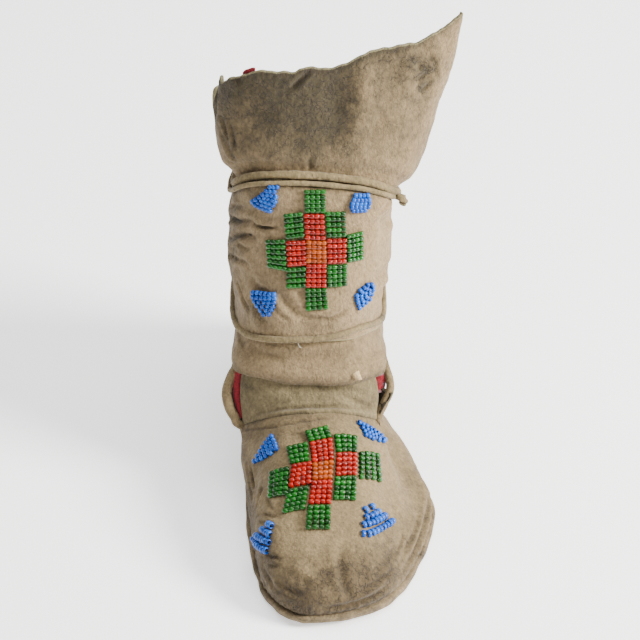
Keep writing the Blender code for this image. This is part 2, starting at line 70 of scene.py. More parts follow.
TOE_Y = -FOOT_L / 2
MM = 0.001
# Points of each outer face, round or across and then up, and points along each thong
SHAFT_FACE, PANEL_FACE, UPPER_FACE, TONGUE_FACE = (288, 128), (272, 88), (300, 96), (128, 84)
SOLE_ROUND, LOWER_ALONG, UPPER_ALONG, STRIP_ALONG, STRIP_ACROSS = 260, 300, 620, 40, 14
CORD_TIP = 0.4        # length of a cord's end beyond its last ring, for one of its height


def ease(x, xs, ys):
    """A smooth curve through the rows of a table, with no overshoot."""
    xs = np.asarray(xs, float)
    ys = np.asarray(ys, float)
    x = np.clip(np.asarray(x, float), xs[0], xs[-1])
    step = np.diff(xs)
    rise = np.diff(ys) / step
    slope = np.zeros_like(ys)
    slope[0] = rise[0]
    slope[-1] = rise[-1]
    both = rise[1:] * rise[:-1] > 0
    mean = 2 * rise[1:] * rise[:-1] / np.where(both, rise[1:] + rise[:-1], 1)
    slope[1:-1] = np.where(both, mean, 0)
    k = np.clip(np.searchsorted(xs, x, side="right") - 1, 0, len(step) - 1)
    t = (x - xs[k]) / step[k]
    a = (1 + 2 * t) * (1 - t) ** 2
    b = t * (1 - t) ** 2
    c = t * t * (3 - 2 * t)
    d = t * t * (t - 1)
    return a * ys[k] + b * step[k] * slope[k] + c * ys[k + 1] + d * step[k] * slope[k + 1]


def read(table, at, name=1):
    """A column of a table as a smooth curve over its first column."""
    return ease(at, [r[0] for r in table], [r[name] for r in table])


def straight(table, at):
    """The second column of a table, in straight lines over its first."""
    return np.interp(at, [r[0] for r in table], [r[1] for r in table])


def hump(x, middle, width, power=2):
    """A soft hump, 1 at its middle. A higher power makes its top flatter."""
    return np.exp(-(((x - middle) / width) ** power))


# Sole outline: share of the foot from the toe, then the roundness of each side in shares of the ball width
OUTLINE = (
    (0.000, 0.400, 0.800), (0.035, 0.412, 0.812), (0.090, 0.410, 0.768), (0.150, 0.378, 0.722),
    (0.210, 0.364, 0.696), (0.270, 0.356, 0.684), (0.330, 0.352, 0.676), (0.385, 0.346, 0.650),
    (0.440, 0.340, 0.596), (0.500, 0.330, 0.546), (0.580, 0.305, 0.456), (0.660, 0.305, 0.390),
    (0.760, 0.345, 0.385), (0.860, 0.450, 0.465), (0.940, 0.560, 0.570), (1.000, 0.620, 0.630),
)


def outline(turn, inset=0.0):
    """Points of the sole outline in plan, turn 0 at the toe, positive round the lateral side."""
    def at(a):
        share = (1 - np.cos(a)) / 2
        width = np.where(np.sin(a) >= 0, read(OUTLINE, share, 2), read(OUTLINE, share, 1))
        return np.stack([np.sin(a) * width * BALL_W, TOE_Y + share * FOOT_L], -1)

    tangent = at(turn + 0.02) - at(turn - 0.02)
    tangent /= np.linalg.norm(tangent, axis=-1, keepdims=True)
    return at(turn) + np.asarray(inset)[..., None] * np.stack([-tangent[..., 1], tangent[..., 0]], -1)


def sole_lift(y):
    """How far the underside of the sole leaves the floor."""
    share = (y - TOE_Y) / FOOT_L
    toe = TOE_SPRING * np.maximum(0.0, (0.16 - share) / 0.16) ** 2
    heel = HEEL_LIFT * np.maximum(0.0, (share - 0.93) / 0.07) ** 2
    return toe + heel + ARCH * hump(share, 0.58, 0.09)


# Shaft sections: height, front and back lines in shares of the shaft height and depth, sides in shares of its width
SHAFT = (
    (0.22, -0.135, 0.930, 0.468, 0.446, 0.50), (0.31, -0.088, 0.918, 0.470, 0.450, 0.50),
    (0.36, -0.062, 0.908, 0.466, 0.436, 0.64), (0.41, -0.030, 0.896, 0.455, 0.424, 0.72),
    (0.51, 0.040, 0.880, 0.496, 0.484, 0.78), (0.58, 0.086, 0.868, 0.486, 0.480, 0.80),
    (0.64, 0.130, 0.856, 0.468, 0.498, 0.82), (0.68, 0.162, 0.846, 0.484, 0.580, 0.84),
    (0.74, 0.206, 0.826, 0.560, 0.690, 0.86), (0.80, 0.246, 0.796, 0.584, 0.742, 0.90),
    (0.88, 0.300, 0.750, 0.562, 0.800, 0.95), (0.96, 0.354, 0.694, 0.542, 0.860, 0.98),
    (1.03, 0.400, 0.640, 0.536, 0.900, 1.00), (1.12, 0.456, 0.572, 0.530, 0.926, 1.00),
)
FLAP = 0.0048         # back flap beside the medial slit, beyond the front
FLARE = 0.0046        # front corners of the hem, outwards
CINCH = 0.0022        # groove that the upper thong pulls in
# Rim of the shaft: degrees from the front, height in shares of the shaft height
RIM = (
    (-180, 0.868), (-150, 0.872), (-126, 0.892), (-108, 0.872), (-102, 0.852), (-96, 0.838), (-90, 0.905),
    (-84, 0.945), (-54, 0.960), (-42, 0.974), (-24, 0.984), (-18, 0.996), (-6, 0.994), (6, 1.008), (12, 1.028),
    (24, 1.038), (40, 1.040), (54, 1.060), (66, 1.080), (78, 1.098), (84, 1.104), (90, 1.075), (96, 0.965),
    (120, 0.920), (150, 0.885), (180, 0.875),
)
# Hem of the shaft: degrees from the front, height in shares of the shaft height
HEM = ((0, 0.311), (20, 0.311), (45, 0.300), (62, 0.286), (100, 0.277), (180, 0.272))
# Panel edges: degrees from the front, lower and upper edge in shares of the shaft height
PANEL = ((0, 0.412, 0.748), (25, 0.408, 0.742), (50, 0.392, 0.712), (75, 0.368, 0.664), (100, 0.356, 0.640),
         (180, 0.350, 0.622))
PANEL_TILT = 0.020    # fall of the panel's upper edge to the lateral side


def signed(turn):
    """A turn brought to between minus and plus half a circle."""
    return (turn + math.pi) % (2 * math.pi) - math.pi


def angle(turn):
    """Degrees from the front, positive to the lateral side."""
    return np.degrees(signed(turn))


def degrees_off(turn):
    """Degrees away from the front to either side."""
    return np.abs(angle(turn))


def panel_low(turn):
    """Height of the panel's lower edge."""
    return SHAFT_H * read(PANEL, degrees_off(turn), 1)


def panel_high(turn):
    """Height of the panel's upper edge."""
    return SHAFT_H * (read(PANEL, degrees_off(turn), 2) - PANEL_TILT * np.sin(turn))


def hem_z(turn):
    """Height of the solid shaft's hem."""
    return SHAFT_H * read(HEM, degrees_off(turn))


def rim_z(turn):
    """Height of the solid shaft's rim."""
    return SHAFT_H * straight(RIM, angle(turn))


def shaft_point(turn, z, out=0.0):
    """Points of the shaft's outer face, turn 0 at the front, positive to the lateral side, moved out by out."""
    turn, z, out = np.broadcast_arrays(*(np.asarray(v, float) for v in (turn, z, out)))
    share = z / SHAFT_H
    front, back, medial, lateral, square = (read(SHAFT, share, k) for k in range(1, 6))
    half_x = (lateral + medial) * SHAFT_W / 2
    half_y = (back - front) * SHAFT_D / 2
    s = np.sin(turn)
    c = np.cos(turn)
    px = np.sign(s) * np.abs(s) ** square
    py = -np.sign(c) * np.abs(c) ** square
    n = 2 / square
    nx = np.sign(s) * np.abs(px) ** (n - 1) / half_x
    ny = -np.sign(c) * np.abs(py) ** (n - 1) / half_y
    degrees = angle(turn)
    flap = FLAP * hump(degrees, -112, 20) * hump(share, 0.92, 0.07)
    out = out + FLARE * hump(np.abs(degrees), 56, 20) * hump(share, 0.285, 0.045)
    out = out - CINCH * hump(z - panel_high(turn), THONG_STEP, 1.35 * THONG_STEP, 4)
    far = np.hypot(nx, ny)
    x = (lateral - medial) * SHAFT_W / 2 + px * half_x - flap + out * nx / far
    y = (front + back) * SHAFT_D / 2 + py * half_y + out * ny / far
    return np.stack([x, y, z], -1)


# Top edge of the upper: degrees round the sole, side in shares of the shaft width, back from the instep seam in
# shares of the foot, height in shares of the instep, and how far the ears stand out in shares of the shaft width
COLLAR = (
    (0, 0.000, 0.000, 1.000, 0.00), (16, 0.135, 0.003, 0.985, 0.00), (32, 0.262, 0.012, 0.920, 0.00),
    (48, 0.366, 0.029, 0.815, 0.00), (64, 0.440, 0.050, 0.715, 0.00), (72, 0.446, 0.062, 0.755, 0.04),
    (78, 0.448, 0.074, 0.865, 0.09), (84, 0.448, 0.088, 0.985, 0.11), (90, 0.442, 0.112, 1.120, 0.06),
    (96, 0.435, 0.140, 1.280, 0.00),
)
SEAM_TILT = 0.05      # rise of the seam towards the lateral side
SEAM_Y = -0.0133      # middle of the seam along the foot
SEAM_END = 64         # end of the seam, degrees round the sole
EAR_CURL = 5          # how late up the wall the ears turn out
EAR_LATERAL = 0.80    # lateral ear for one of the medial ear
# Where a column of the upper reaches the shaft: degrees round the sole, degrees round the shaft
MEET = ((84, 62), (96, 71), (115, 93), (145, 136), (180, 180))
# Rise of the upper from the sole to its top edge: how far across and how far up, at the toe, the sides and the heel
RISE = (
    (0.00, 0.000, 0.000, 0.00, 0.00, 0.00, 0.00), (0.07, -0.003, 0.080, 0.00, 0.09, -0.06, 0.09),
    (0.14, 0.008, 0.160, 0.09, 0.18, -0.09, 0.18), (0.22, 0.045, 0.250, 0.27, 0.27, -0.08, 0.28),
    (0.32, 0.120, 0.360, 0.48, 0.38, -0.02, 0.40), (0.44, 0.245, 0.490, 0.68, 0.51, 0.14, 0.54),
    (0.58, 0.415, 0.640, 0.83, 0.65, 0.36, 0.68), (0.72, 0.610, 0.780, 0.92, 0.78, 0.60, 0.81),
    (0.86, 0.805, 0.895, 0.98, 0.90, 0.82, 0.91), (1.00, 1.000, 1.000, 1.00, 1.00, 1.00, 1.00),
)


def meeting(turn):
    """The turn of the shaft over one turn of the sole."""
    return np.copysign(np.radians(read(MEET, degrees_off(turn))), signed(turn))


def collar(turn):
    """The top edge of the upper over one turn of the sole."""
    a = signed(turn)
    degrees = degrees_off(turn)
    meet = meeting(a)
    inner = shaft_point(meet, hem_z(meet) + LAP, -(WALL + 3 * GAP))
    x = np.copysign(read(COLLAR, degrees, 1) * SHAFT_W, a)
    back = read(COLLAR, degrees, 2) * FOOT_L
    edge = np.stack([x, SEAM_Y + back, read(COLLAR, degrees, 3) * INSTEP + SEAM_TILT * x], -1)
    share = ease(degrees, (84, 102), (0, 1))[..., None]
    return edge * (1 - share) + inner * share


def upper_point(turn, step):
    """Points of the upper's outer face, step 0 at the sole and 1 at the top edge."""
    turn, step = np.broadcast_arrays(np.asarray(turn, float), np.asarray(step, float))
    a = signed(turn)
    degrees = degrees_off(turn)
    foot = outline(a, SOLE_EDGE)
    low = np.concatenate([foot, (SOLE_T + GAP + sole_lift(foot[..., 1]))[..., None]], -1)
    top = collar(a)
    side = ease(degrees, (24, 84), (0, 1)) * ease(degrees, (115, 160), (1, 0))
    heel = ease(degrees, (115, 160), (0, 1))
    toe = 1 - side - heel
    share_in = toe * read(RISE, step, 1) + side * read(RISE, step, 3) + heel * read(RISE, step, 5)
    share_up = toe * read(RISE, step, 2) + side * read(RISE, step, 4) + heel * read(RISE, step, 6)
    ear = read(COLLAR, degrees, 4) * np.where(a < 0, 1, EAR_LATERAL)
    puff = PUFF * ease(degrees, (12, 28, 46, 78), (0, 1, 0.5, 0)) * np.sin(math.pi * np.minimum(1, step / 0.8))
    tuck = TUCK * ease(degrees, (56, 78, 100, 125), (0, 1, 1, 0)) * np.sin(math.pi * step) ** 2
    point = low + (top - low) * np.stack([share_in, share_in, share_up], -1)
    point[..., 0] += np.copysign(ear * SHAFT_W * step ** EAR_CURL, a) - np.where(a < 0, puff, tuck)
    meet = meeting(a)
    under = ease(point[..., 2] - hem_z(meet), (-0.0068, -0.0027), (0, 1)) * ease(degrees, (78, 84), (0, 1))
    shaft = shaft_point(meet, point[..., 2], -(WALL + 3 * GAP))
    point[..., :2] += under[..., None] * (shaft - point)[..., :2]
    return point


def tongue_point(turn, step):
    """Points of the tongue's outer face: from the seam up behind the hem, then close inside the shaft."""
    turn, step = np.broadcast_arrays(np.asarray(turn, float), np.asarray(step, float))
    a = signed(turn)
    seam = collar(a)
    meet = a * TONGUE_SPREAD
    z = INSTEP + (TONGUE_TOP - INSTEP) * step
    inner = shaft_point(meet, np.maximum(z, hem_z(meet) - 0.67 * LAP), -(WALL + TONGUE_ROOM))
    inner[..., 2] = z - (1 - step) * 0.10 * np.abs(meet) * INSTEP
    share = ease(step, (0, 0.13, 0.27, 1), (0, 0.55, 1, 1))[..., None]
    return seam * (1 - share) + inner * share


# Everything below is the finished surface. Lengths in its tables are millimetres.
# SHIFT moves the tables' middle of the ankle to its place in the frame.
SHIFT = np.array([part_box("sole")[0].x - outline(np.linspace(-math.pi, math.pi, 721))[:, 0].min(), 0, 0])


def smooth_noise(points, size, seed):
    """Soft noise from -1 to 1 at each point, with features of about size."""
    move = Vector((seed * 7.31, seed * 3.17, seed * 5.03))
    return np.array([noise.noise(Vector(p) / size + move) for p in points.reshape(-1, 3)]).reshape(points.shape[:-1])


def uneven(points, *layers):
    """Layers of soft noise added up: how high in millimetres, size in millimetres, seed."""
    return sum(high * MM * smooth_noise(points, size * MM, seed) for high, size, seed in layers)


def along(points, line):
    """Distance from each point to a line of points, and how far along the line the nearest place is, 0 to 1."""
    line = np.asarray(line, float)
    length = np.linalg.norm(np.diff(line, axis=0), axis=1)
    start = np.concatenate([[0], np.cumsum(length)])
    best = np.full(points.shape[:-1], 1e9)
    share = np.zeros(points.shape[:-1])
    for k, (a, b) in enumerate(zip(line, line[1:])):
        v = b - a
        t = np.clip(((points - a) @ v) / (v @ v), 0, 1)
        far = np.linalg.norm(points - (a + t[..., None] * v), axis=-1)
        near = far < best
        best[near] = far[near]
        share[near] = ((start[k] + t * length[k]) / start[-1])[near]
    return best, share


def fade(share):
    """1 along the middle of a mark, 0 at its ends."""
    return np.clip(4 * share * (1 - share), 0, 1) ** 0.6


def bend(line):
    """Five points for each of a line's own, so that it bends softly through them."""
    line = np.asarray(line, float)
    at = np.linspace(0, len(line) - 1, (len(line) - 1) * 5 + 1)
    k = np.minimum(at.astype(int), len(line) - 2)
    t = (at - k)[:, None]
    before = line[np.maximum(k - 1, 0)]
    after = line[np.minimum(k + 2, len(line) - 1)]
    a, b = line[k], line[k + 1]
    return 0.5 * (2 * a + (b - before) * t + (2 * before - 5 * a + 4 * b - after) * t ** 2
                  + (3 * a - before - 3 * b + after) * t ** 3)


class Marks:
    """Creases, ridges and darker or paler patches laid on one surface. place turns a table's two numbers into points.
    """

    def __init__(self, place, creases, patches):
        self.creases = []
        for depth, width, lip, dark, *line in creases:
            line = bend(line) if len(line) > 2 else np.asarray(line, float)
            self.creases.append((depth * MM, width * MM, lip * MM, dark, place(line[:, 0], line[:, 1])))
        self.patches = [(dark, radius * MM, place(*at)) for dark, radius, *at in patches]

    def relief(self, points):
        """How far out the marks move the surface: in along a crease, out at its lips."""
        out = np.zeros(points.shape[:-1])
        for depth, width, lip, _, line in self.creases:
            far, share = along(points, line)
            hold = fade(share)
            out -= depth * hold * hump(far, 0, width)
            out += lip * hold * hump(far, 2.0 * width, 1.1 * width)
        return out

    def soil(self, points):
        """How dark the marks leave the surface, negative where they leave it pale: painted shade along the creases,
        painted highlights along the ridges and in most pale patches, and darker patches.
        """
        dark = np.zeros(points.shape[:-1])
        for _, width, _, amount, line in self.creases:
            if amount:
                far, share = along(points, line)
                dark += amount * fade(share) * hump(far, 0, 0.8 * width)
        for amount, radius, at in self.patches:
            dark += amount * hump(np.linalg.norm(points - at, axis=-1), 0, radius)
        return dark


def normals(points, closed=True):
    """Outward directions of a sheet whose rows go up and whose columns go to the lateral side."""
    if closed:
        around = np.roll(points, -1, 1) - np.roll(points, 1, 1)
    else:
        around = np.gradient(points, axis=1)
    n = np.cross(around, np.gradient(points, axis=0))
    return n / np.maximum(np.linalg.norm(n, axis=-1, keepdims=True), 1e-12)


def smooth_object(name, mesh):
    """A smooth-shaded object of a mesh, not in the scene yet."""
    mesh.polygons.foreach_set("use_smooth", [True] * len(mesh.polygons))
    return bpy.data.objects.new(name, mesh)


def shown(obj):
    """Puts an object in the scene."""
    bpy.context.scene.collection.objects.link(obj)
    return obj


def mesh_piece(name, verts, faces, material, **values):
    """A smooth-shaded mesh object with one material and a number at each point for each value named."""
    mesh = bpy.data.meshes.new(name)
    mesh.from_pydata((verts + SHIFT).tolist(), [], faces)
    for key, value in values.items():
        layer = mesh.attributes.new(key, "FLOAT", "POINT")
        layer.data.foreach_set("value", np.asarray(value, np.float32).ravel())
    mesh.materials.append(material)
    return shown(smooth_object(name, mesh))


def keep(obj, slot, *nodes):
    """The piece rides on the boot and stands for the solids named; slot is not used."""
    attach(obj, "root")
    if nodes:
        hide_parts(*nodes)


def quads(rows, columns, closed, loop):
    """Faces between rows of points: closed round, looped end to end."""
    k = np.arange(columns if closed else columns - 1)
    i = np.arange(rows if loop else rows - 1)
    i, k = np.meshgrid(i, k, indexing="ij")
    j = (i + 1) % rows
    n = (k + 1) % columns
    cells = np.stack([i * columns + k, i * columns + n, j * columns + n, j * columns + k], -1)
    return cells.reshape(-1, 4).tolist()


def cut_edge(edge, out, up, wall, square):
    """Rows that turn from the outer face over a cut edge to the inner face."""
    rows = []
    for t in np.radians((18, 42, 66, 90, 114, 138, 162)):
        c, s = math.cos(t), math.sin(t)
        reach = out * (np.sign(c) * abs(c) ** square) + up * abs(s) ** square
        rows.append(edge - out * wall / 2 + reach * wall / 2)
    return rows


def shell(name, outer, moved, wall, material, soil, closed=True, square=0.6, inner_rows=30, edge_pale=1.0,
          low_pale=None):
    """A hide piece with a real wall: its outer face, its cut edges and its inner face.
    moved is how far each point of the outer face leaves the sheet, square how square the cut edges are, and the pale
    values how much of the cut's colour shows at the top and the low edge."""
    out = normals(outer, closed)
    face = outer + out * moved[..., None]
    pick = np.unique(np.linspace(0, len(outer) - 1, inner_rows).round().astype(int))
    inner = (outer - out * (wall - np.minimum(moved, 0)[..., None]))[pick][::-1]
    up_top = face[-1] - face[-3]
    up_top /= np.linalg.norm(up_top, axis=-1, keepdims=True)
    up_low = face[0] - face[2]
    up_low /= np.linalg.norm(up_low, axis=-1, keepdims=True)
    top = cut_edge(face[-1], out[-1], up_top, wall, square)
    low = cut_edge(face[0], out[0], up_low, wall, square)[::-1]
    rows = [*face, *top, *inner, *low]
    count = face.shape[1]
    low_pale = edge_pale if low_pale is None else low_pale
    edge = np.repeat((0, edge_pale, 0, low_pale), (len(face), len(top), len(inner), len(low)))
    # inside marks the inner face and the inner half of each cut edge, which the hide's finish paints dark: painted
    # shade inside the piece.
    half = len(top) // 2
    inside = np.repeat((0, 1, 0), (len(face) + half, len(inner) + 2 * (len(top) - half), half))
    dirt_and_shade = [*soil, *[soil[-1]] * len(top), *soil[pick][::-1], *[soil[0]] * len(low)]
    faces = quads(len(rows), count, closed, True)
    if not closed:
        side = range(0, len(rows) * count, count)
        faces += [list(side), [i + count - 1 for i in reversed(side)]]
    return mesh_piece(name, np.concatenate(rows), faces, material, soil=np.concatenate(dirt_and_shade),
                      edge=np.repeat(edge, count), inside=np.repeat(inside, count))


def tube(name, path, high, deep, material, soil, sides=14, closed=False):
    """A soft cord with an oval section, high by deep, swept along a path. Its open ends are low cones."""
    if closed:
        step = np.roll(path, -1, 0) - np.roll(path, 1, 0)
    else:
        step = np.gradient(path, axis=0)
    step /= np.linalg.norm(step, axis=1, keepdims=True)
    out = np.cross(step, (0, 0, 1.0))
    out /= np.linalg.norm(out, axis=1, keepdims=True)
    up = np.cross(out, step)
    high, deep = (np.broadcast_to(v, len(path)) for v in (high, deep))
    turn = 2 * math.pi * np.arange(sides) / sides
    rows = path[:, None] + out[:, None] * (np.cos(turn)[None, :, None] * deep[:, None, None] / 2)
    rows = rows + up[:, None] * (np.sin(turn)[None, :, None] * high[:, None, None] / 2)
    verts = rows.reshape(-1, 3)
    faces = quads(len(path), sides, True, closed)
    if not closed:
        tips = path[[0, -1]] + step[[0, -1]] * high[[0, -1], None] * [[-CORD_TIP], [CORD_TIP]]
        far, first = len(verts) - sides, len(verts)
        for k in range(sides):
            n = (k + 1) % sides
            faces += [(first, n, k), (first + 1, far + k, far + n)]
        verts = np.vstack([verts, tips])
    zero = np.zeros(len(verts))
    dirt_and_shade = zero.copy()
    dirt_and_shade[:len(path) * sides] = np.repeat(np.broadcast_to(soil, len(path)), sides)
    return mesh_piece(name, verts, faces, material, soil=dirt_and_shade, edge=zero, inside=zero)


# Finishes
def node(tree, kind, inputs=None, **settings):
    """A node with its settings, its inputs set to values or linked from other nodes."""
    made = tree.nodes.new(kind)
    for key, value in settings.items():
        setattr(made, key, value)
    for key, value in (inputs or {}).items():
        if isinstance(value, bpy.types.NodeSocket):
            tree.links.new(value, made.inputs[key])
        else:
            made.inputs[key].default_value = value
    return made


def calc(tree, operation, a, b=0.0):
    """A sum of two values or sockets."""
    return node(tree, "ShaderNodeMath", {0: a, 1: b}, operation=operation).outputs[0]


def weighed(tree, start, *terms):
    """start plus each value times its weight."""
    for value, weight in terms:
        start = calc(tree, "ADD", start, calc(tree, "MULTIPLY", value, weight))
    return start


def centred(tree, value):
    """Noise from 0 to 1 moved to lie about 0."""
    return calc(tree, "SUBTRACT", value, 0.5)


def mix(tree, share, a, b, kind="MIX"):
    """One colour over another by a share."""
    return node(tree, "ShaderNodeMix", {0: share, 6: a, 7: b}, data_type="RGBA", blend_type=kind).outputs[2]


def remap(tree, value, low, high, to_low=0.0, to_high=1.0):
    """A value led softly from one range to another."""
    return node(tree, "ShaderNodeMapRange", {0: value, 1: low, 2: high, 3: to_low, 4: to_high},
                interpolation_type="SMOOTHSTEP").outputs[0]


def grain(tree, where, size, detail, rough=0.55):
    """Noise with features of about size metres."""
    return node(tree, "ShaderNodeTexNoise",
                {"Vector": where, "Scale": 1 / size, "Detail": detail, "Roughness": rough},
                noise_dimensions="3D").outputs[0]


def number(tree, name):
    """A number stored at the mesh's points."""
    return node(tree, "ShaderNodeAttribute", attribute_name=name, attribute_type="GEOMETRY").outputs["Fac"]


def place_on_object(tree):
    """Object coordinates."""
    return node(tree, "ShaderNodeTexCoord").outputs["Object"]


def colour(r, g, b):
    """A linear colour from its usual 0 to 255 numbers."""
    return tuple(((v / 255 + 0.055) / 1.055) ** 2.4 for v in (r, g, b)) + (1.0,)


def new_group(name, inputs, outputs):
    """A shader group whose inputs start at the values given: a colour or a number each."""
    tree = bpy.data.node_groups.new(name, "ShaderNodeTree")
    for label, value in inputs.items():
        kind = "NodeSocketColor" if isinstance(value, tuple) else "NodeSocketFloat"
        tree.interface.new_socket(label, in_out="INPUT", socket_type=kind).default_value = value
    for label in outputs:
        kind = "NodeSocketColor" if label == "Color" else "NodeSocketFloat"
        tree.interface.new_socket(label, in_out="OUTPUT", socket_type=kind)
    return tree, tree.nodes.new("NodeGroupInput").outputs, tree.nodes.new("NodeGroupOutput").inputs


def suede_group():
    """Soft brushed hide: pale and dark tone, clouds, mottling, grime and painted shade at the marks and in fine
    wrinkles, a dark inner face that paints the shade inside, pale cut edges and a fine nap.
    """
    tree, given, out = new_group("suede", {
        "Pale": colour(128, 110, 82), "Dark": colour(66, 60, 39), "Grime_and_shade": colour(44, 32, 20),
        "Cut": colour(134, 126, 92), "Inside": colour(30, 26, 18), "Tone": 0.0, "Mottle": 1.0,
    }, ("Color", "Roughness", "Height"))
    where = place_on_object(tree)
    brushed = node(tree, "ShaderNodeMapping", {"Vector": where, "Scale": (1.0, 1.0, 0.62)}).outputs[0]
    clouds = grain(tree, where, 0.020, 4.0)
    blotch = grain(tree, where, 0.0040, 4.0, 0.62)
    nap = grain(tree, brushed, 0.00105, 3.0, 0.7)
    fuzz = grain(tree, where, 0.0005, 2.0, 0.6)
    pebble = grain(tree, where, 0.0021, 2.0, 0.5)
    # The stored darkness adds to the tone: stains and dirt, and painted shade along creases, under the thongs and the
    # hem, inside the ears and on the medial side; below zero it is a painted highlight on ridges and the lit side.
    tone = calc(tree, "ADD", given["Tone"], number(tree, "soil"))
    patchy = calc(tree, "MULTIPLY", centred(tree, blotch), 0.85)
    tone = weighed(tree, tone, (centred(tree, clouds), 0.9), (patchy, given["Mottle"]))
    base = mix(tree, remap(tree, tone, -0.1, 1.0), given["Pale"], given["Dark"])
    base = mix(tree, remap(tree, tone, 0.95, 1.9), base, given["Grime_and_shade"])
    lift = weighed(tree, 1.0, (centred(tree, nap), 1.5), (centred(tree, fuzz), 0.55))
    shade = node(tree, "ShaderNodeCombineColor", {0: lift, 1: lift, 2: lift}).outputs[0]
    base = mix(tree, 1.0, base, shade, "MULTIPLY")
    # Fine wrinkles darken towards the grime-and-shade colour where the hide is darker: grime and painted shade in
    # them. The inner face takes the Inside colour: painted shade inside the pieces.
    wander = calc(tree, "ABSOLUTE", centred(tree, grain(tree, where, 0.0042, 5.0, 0.62)))
    wrinkle = calc(tree, "MULTIPLY", remap(tree, wander, 0.0, 0.032, 1.0, 0.0), remap(tree, tone, 0.25, 0.85))
    for mask, weight, tint in ((wrinkle, 0.55, "Grime_and_shade"), (number(tree, "inside"), 0.9, "Inside"),
                               (number(tree, "edge"), 0.75, "Cut")):
        base = mix(tree, calc(tree, "MULTIPLY", mask, weight), base, given[tint])
    tree.links.new(base, out["Color"])
    tree.links.new(remap(tree, tone, 0.0, 1.6, 0.96, 0.82), out["Roughness"])
    height = weighed(tree, 0.0, (nap, 0.6), (fuzz, 0.25), (pebble, 0.9), (blotch, 0.8), (wrinkle, -0.5))
    tree.links.new(height, out["Height"])
    return tree


def glass_group():
    """Seed bead glass: deeper or brighter from bead to bead, and unevenly polished."""
    tree, given, out = new_group("bead_glass", {"Deep": colour(0, 30, 3), "Bright": colour(14, 92, 14), "Dull": 0.12},
                                 ("Color", "Roughness"))
    where = place_on_object(tree)
    tone = weighed(tree, 0.0, (number(tree, "tone"), 0.75), (grain(tree, where, 0.0016, 1.0), 0.35))
    tree.links.new(mix(tree, tone, given["Deep"], given["Bright"]), out["Color"])
    most = calc(tree, "ADD", given["Dull"], 0.16)
    dull = remap(tree, grain(tree, where, 0.0009, 2.0), 0.4, 0.7, given["Dull"], most)
    tree.links.new(dull, out["Roughness"])
    return tree


def fibre_group():
    """Felt or thread: a fibrous surface in two tones, stained where it is soiled."""
    tree, given, out = new_group("fibre", {"Deep": colour(84, 80, 68), "Bright": colour(150, 146, 130),
                                           "Stain": colour(124, 100, 106), "Scale": 2000.0},
                                 ("Color", "Roughness", "Height"))
    fibre = node(tree, "ShaderNodeTexNoise", {"Vector": place_on_object(tree), "Scale": given["Scale"], "Detail": 4.0,
                                              "Roughness": 0.7}, noise_dimensions="3D").outputs[0]
    base = mix(tree, remap(tree, fibre, 0.3, 0.7), given["Deep"], given["Bright"])
    tree.links.new(mix(tree, number(tree, "soil"), base, given["Stain"]), out["Color"])
    tree.links.new(remap(tree, fibre, 0.2, 0.8, 0.95, 0.8), out["Roughness"])
    tree.links.new(fibre, out["Height"])
    return tree


def finish(name, group, look, bump=None, **shader_values):
    """A material: one group with this finish's own values, bumped by its height, and the shader's plain values."""
    mat = bpy.data.materials.new(name)
    mat.use_nodes = True
    tree = mat.node_tree
    shader = tree.nodes["Principled BSDF"]
    made = node(tree, "ShaderNodeGroup", node_tree=group)
    for key, value in look.items():
        made.inputs[key].default_value = value
    tree.links.new(made.outputs["Color"], shader.inputs["Base Color"])
    tree.links.new(made.outputs["Roughness"], shader.inputs["Roughness"])
    if bump:
        bumped = node(tree, "ShaderNodeBump", {"Height": made.outputs["Height"], "Distance": bump, "Strength": 1.0})
        tree.links.new(bumped.outputs[0], shader.inputs["Normal"])
    for key, value in shader_values.items():
        shader.inputs[key.replace("_", " ")].default_value = value
    return mat


SUEDE, GLASS, FIBRE = suede_group(), glass_group(), fibre_group()
HIDE_BUMP = 0.0005    # depth of the nap, metres


def hide_finish(name, pale, dark, tone=0.0, **look):
    """A soft hide, from its pale and its dark tone."""
    look.update(Pale=colour(*pale), Dark=colour(*dark), Tone=tone)
    return finish(name, SUEDE, look, HIDE_BUMP, Sheen_Weight=0.08, Sheen_Roughness=0.5, Specular_IOR_Level=0.3)


def glass_finish(name, deep, bright, clear=0.05, dull=0.12):
    """Bead glass, from its deep and its bright tone."""
    look = {"Deep": colour(*deep), "Bright": colour(*bright), "Dull": dull}
    return finish(name, GLASS, look, Transmission_Weight=clear, IOR=1.5, Specular_IOR_Level=0.3)


def fibre_finish(name, deep, bright, size=0.0005, bump=0.0001, sheen=0.1):
    """Felt or thread. size is its grain, in metres."""
    look = {"Deep": colour(*deep), "Bright": colour(*bright), "Scale": 1 / size}
    return finish(name, FIBRE, look, bump, Sheen_Weight=sheen)


shaft_hide = hide_finish("shaft_hide", (123, 104, 75), (60, 52, 34), 0.10)
panel_hide = hide_finish("panel_hide", (132, 112, 82), (70, 61, 41), 0.05)
upper_hide = hide_finish("upper_hide", (120, 103, 73), (66, 54, 34), 0.10)
tongue_hide = hide_finish("tongue_hide", (116, 103, 74), (68, 59, 39), 0.20)
thong_hide = hide_finish("thong_hide", (122, 106, 74), (68, 59, 38), 0.15)
sole_hide = hide_finish("sole_hide", (124, 107, 80), (66, 56, 38), 0.30, Cut=colour(92, 78, 56),
                        Inside=colour(60, 52, 36))
chip_hide = hide_finish("chip_hide", (176, 150, 110), (140, 112, 78), -0.2, Mottle=0.3)
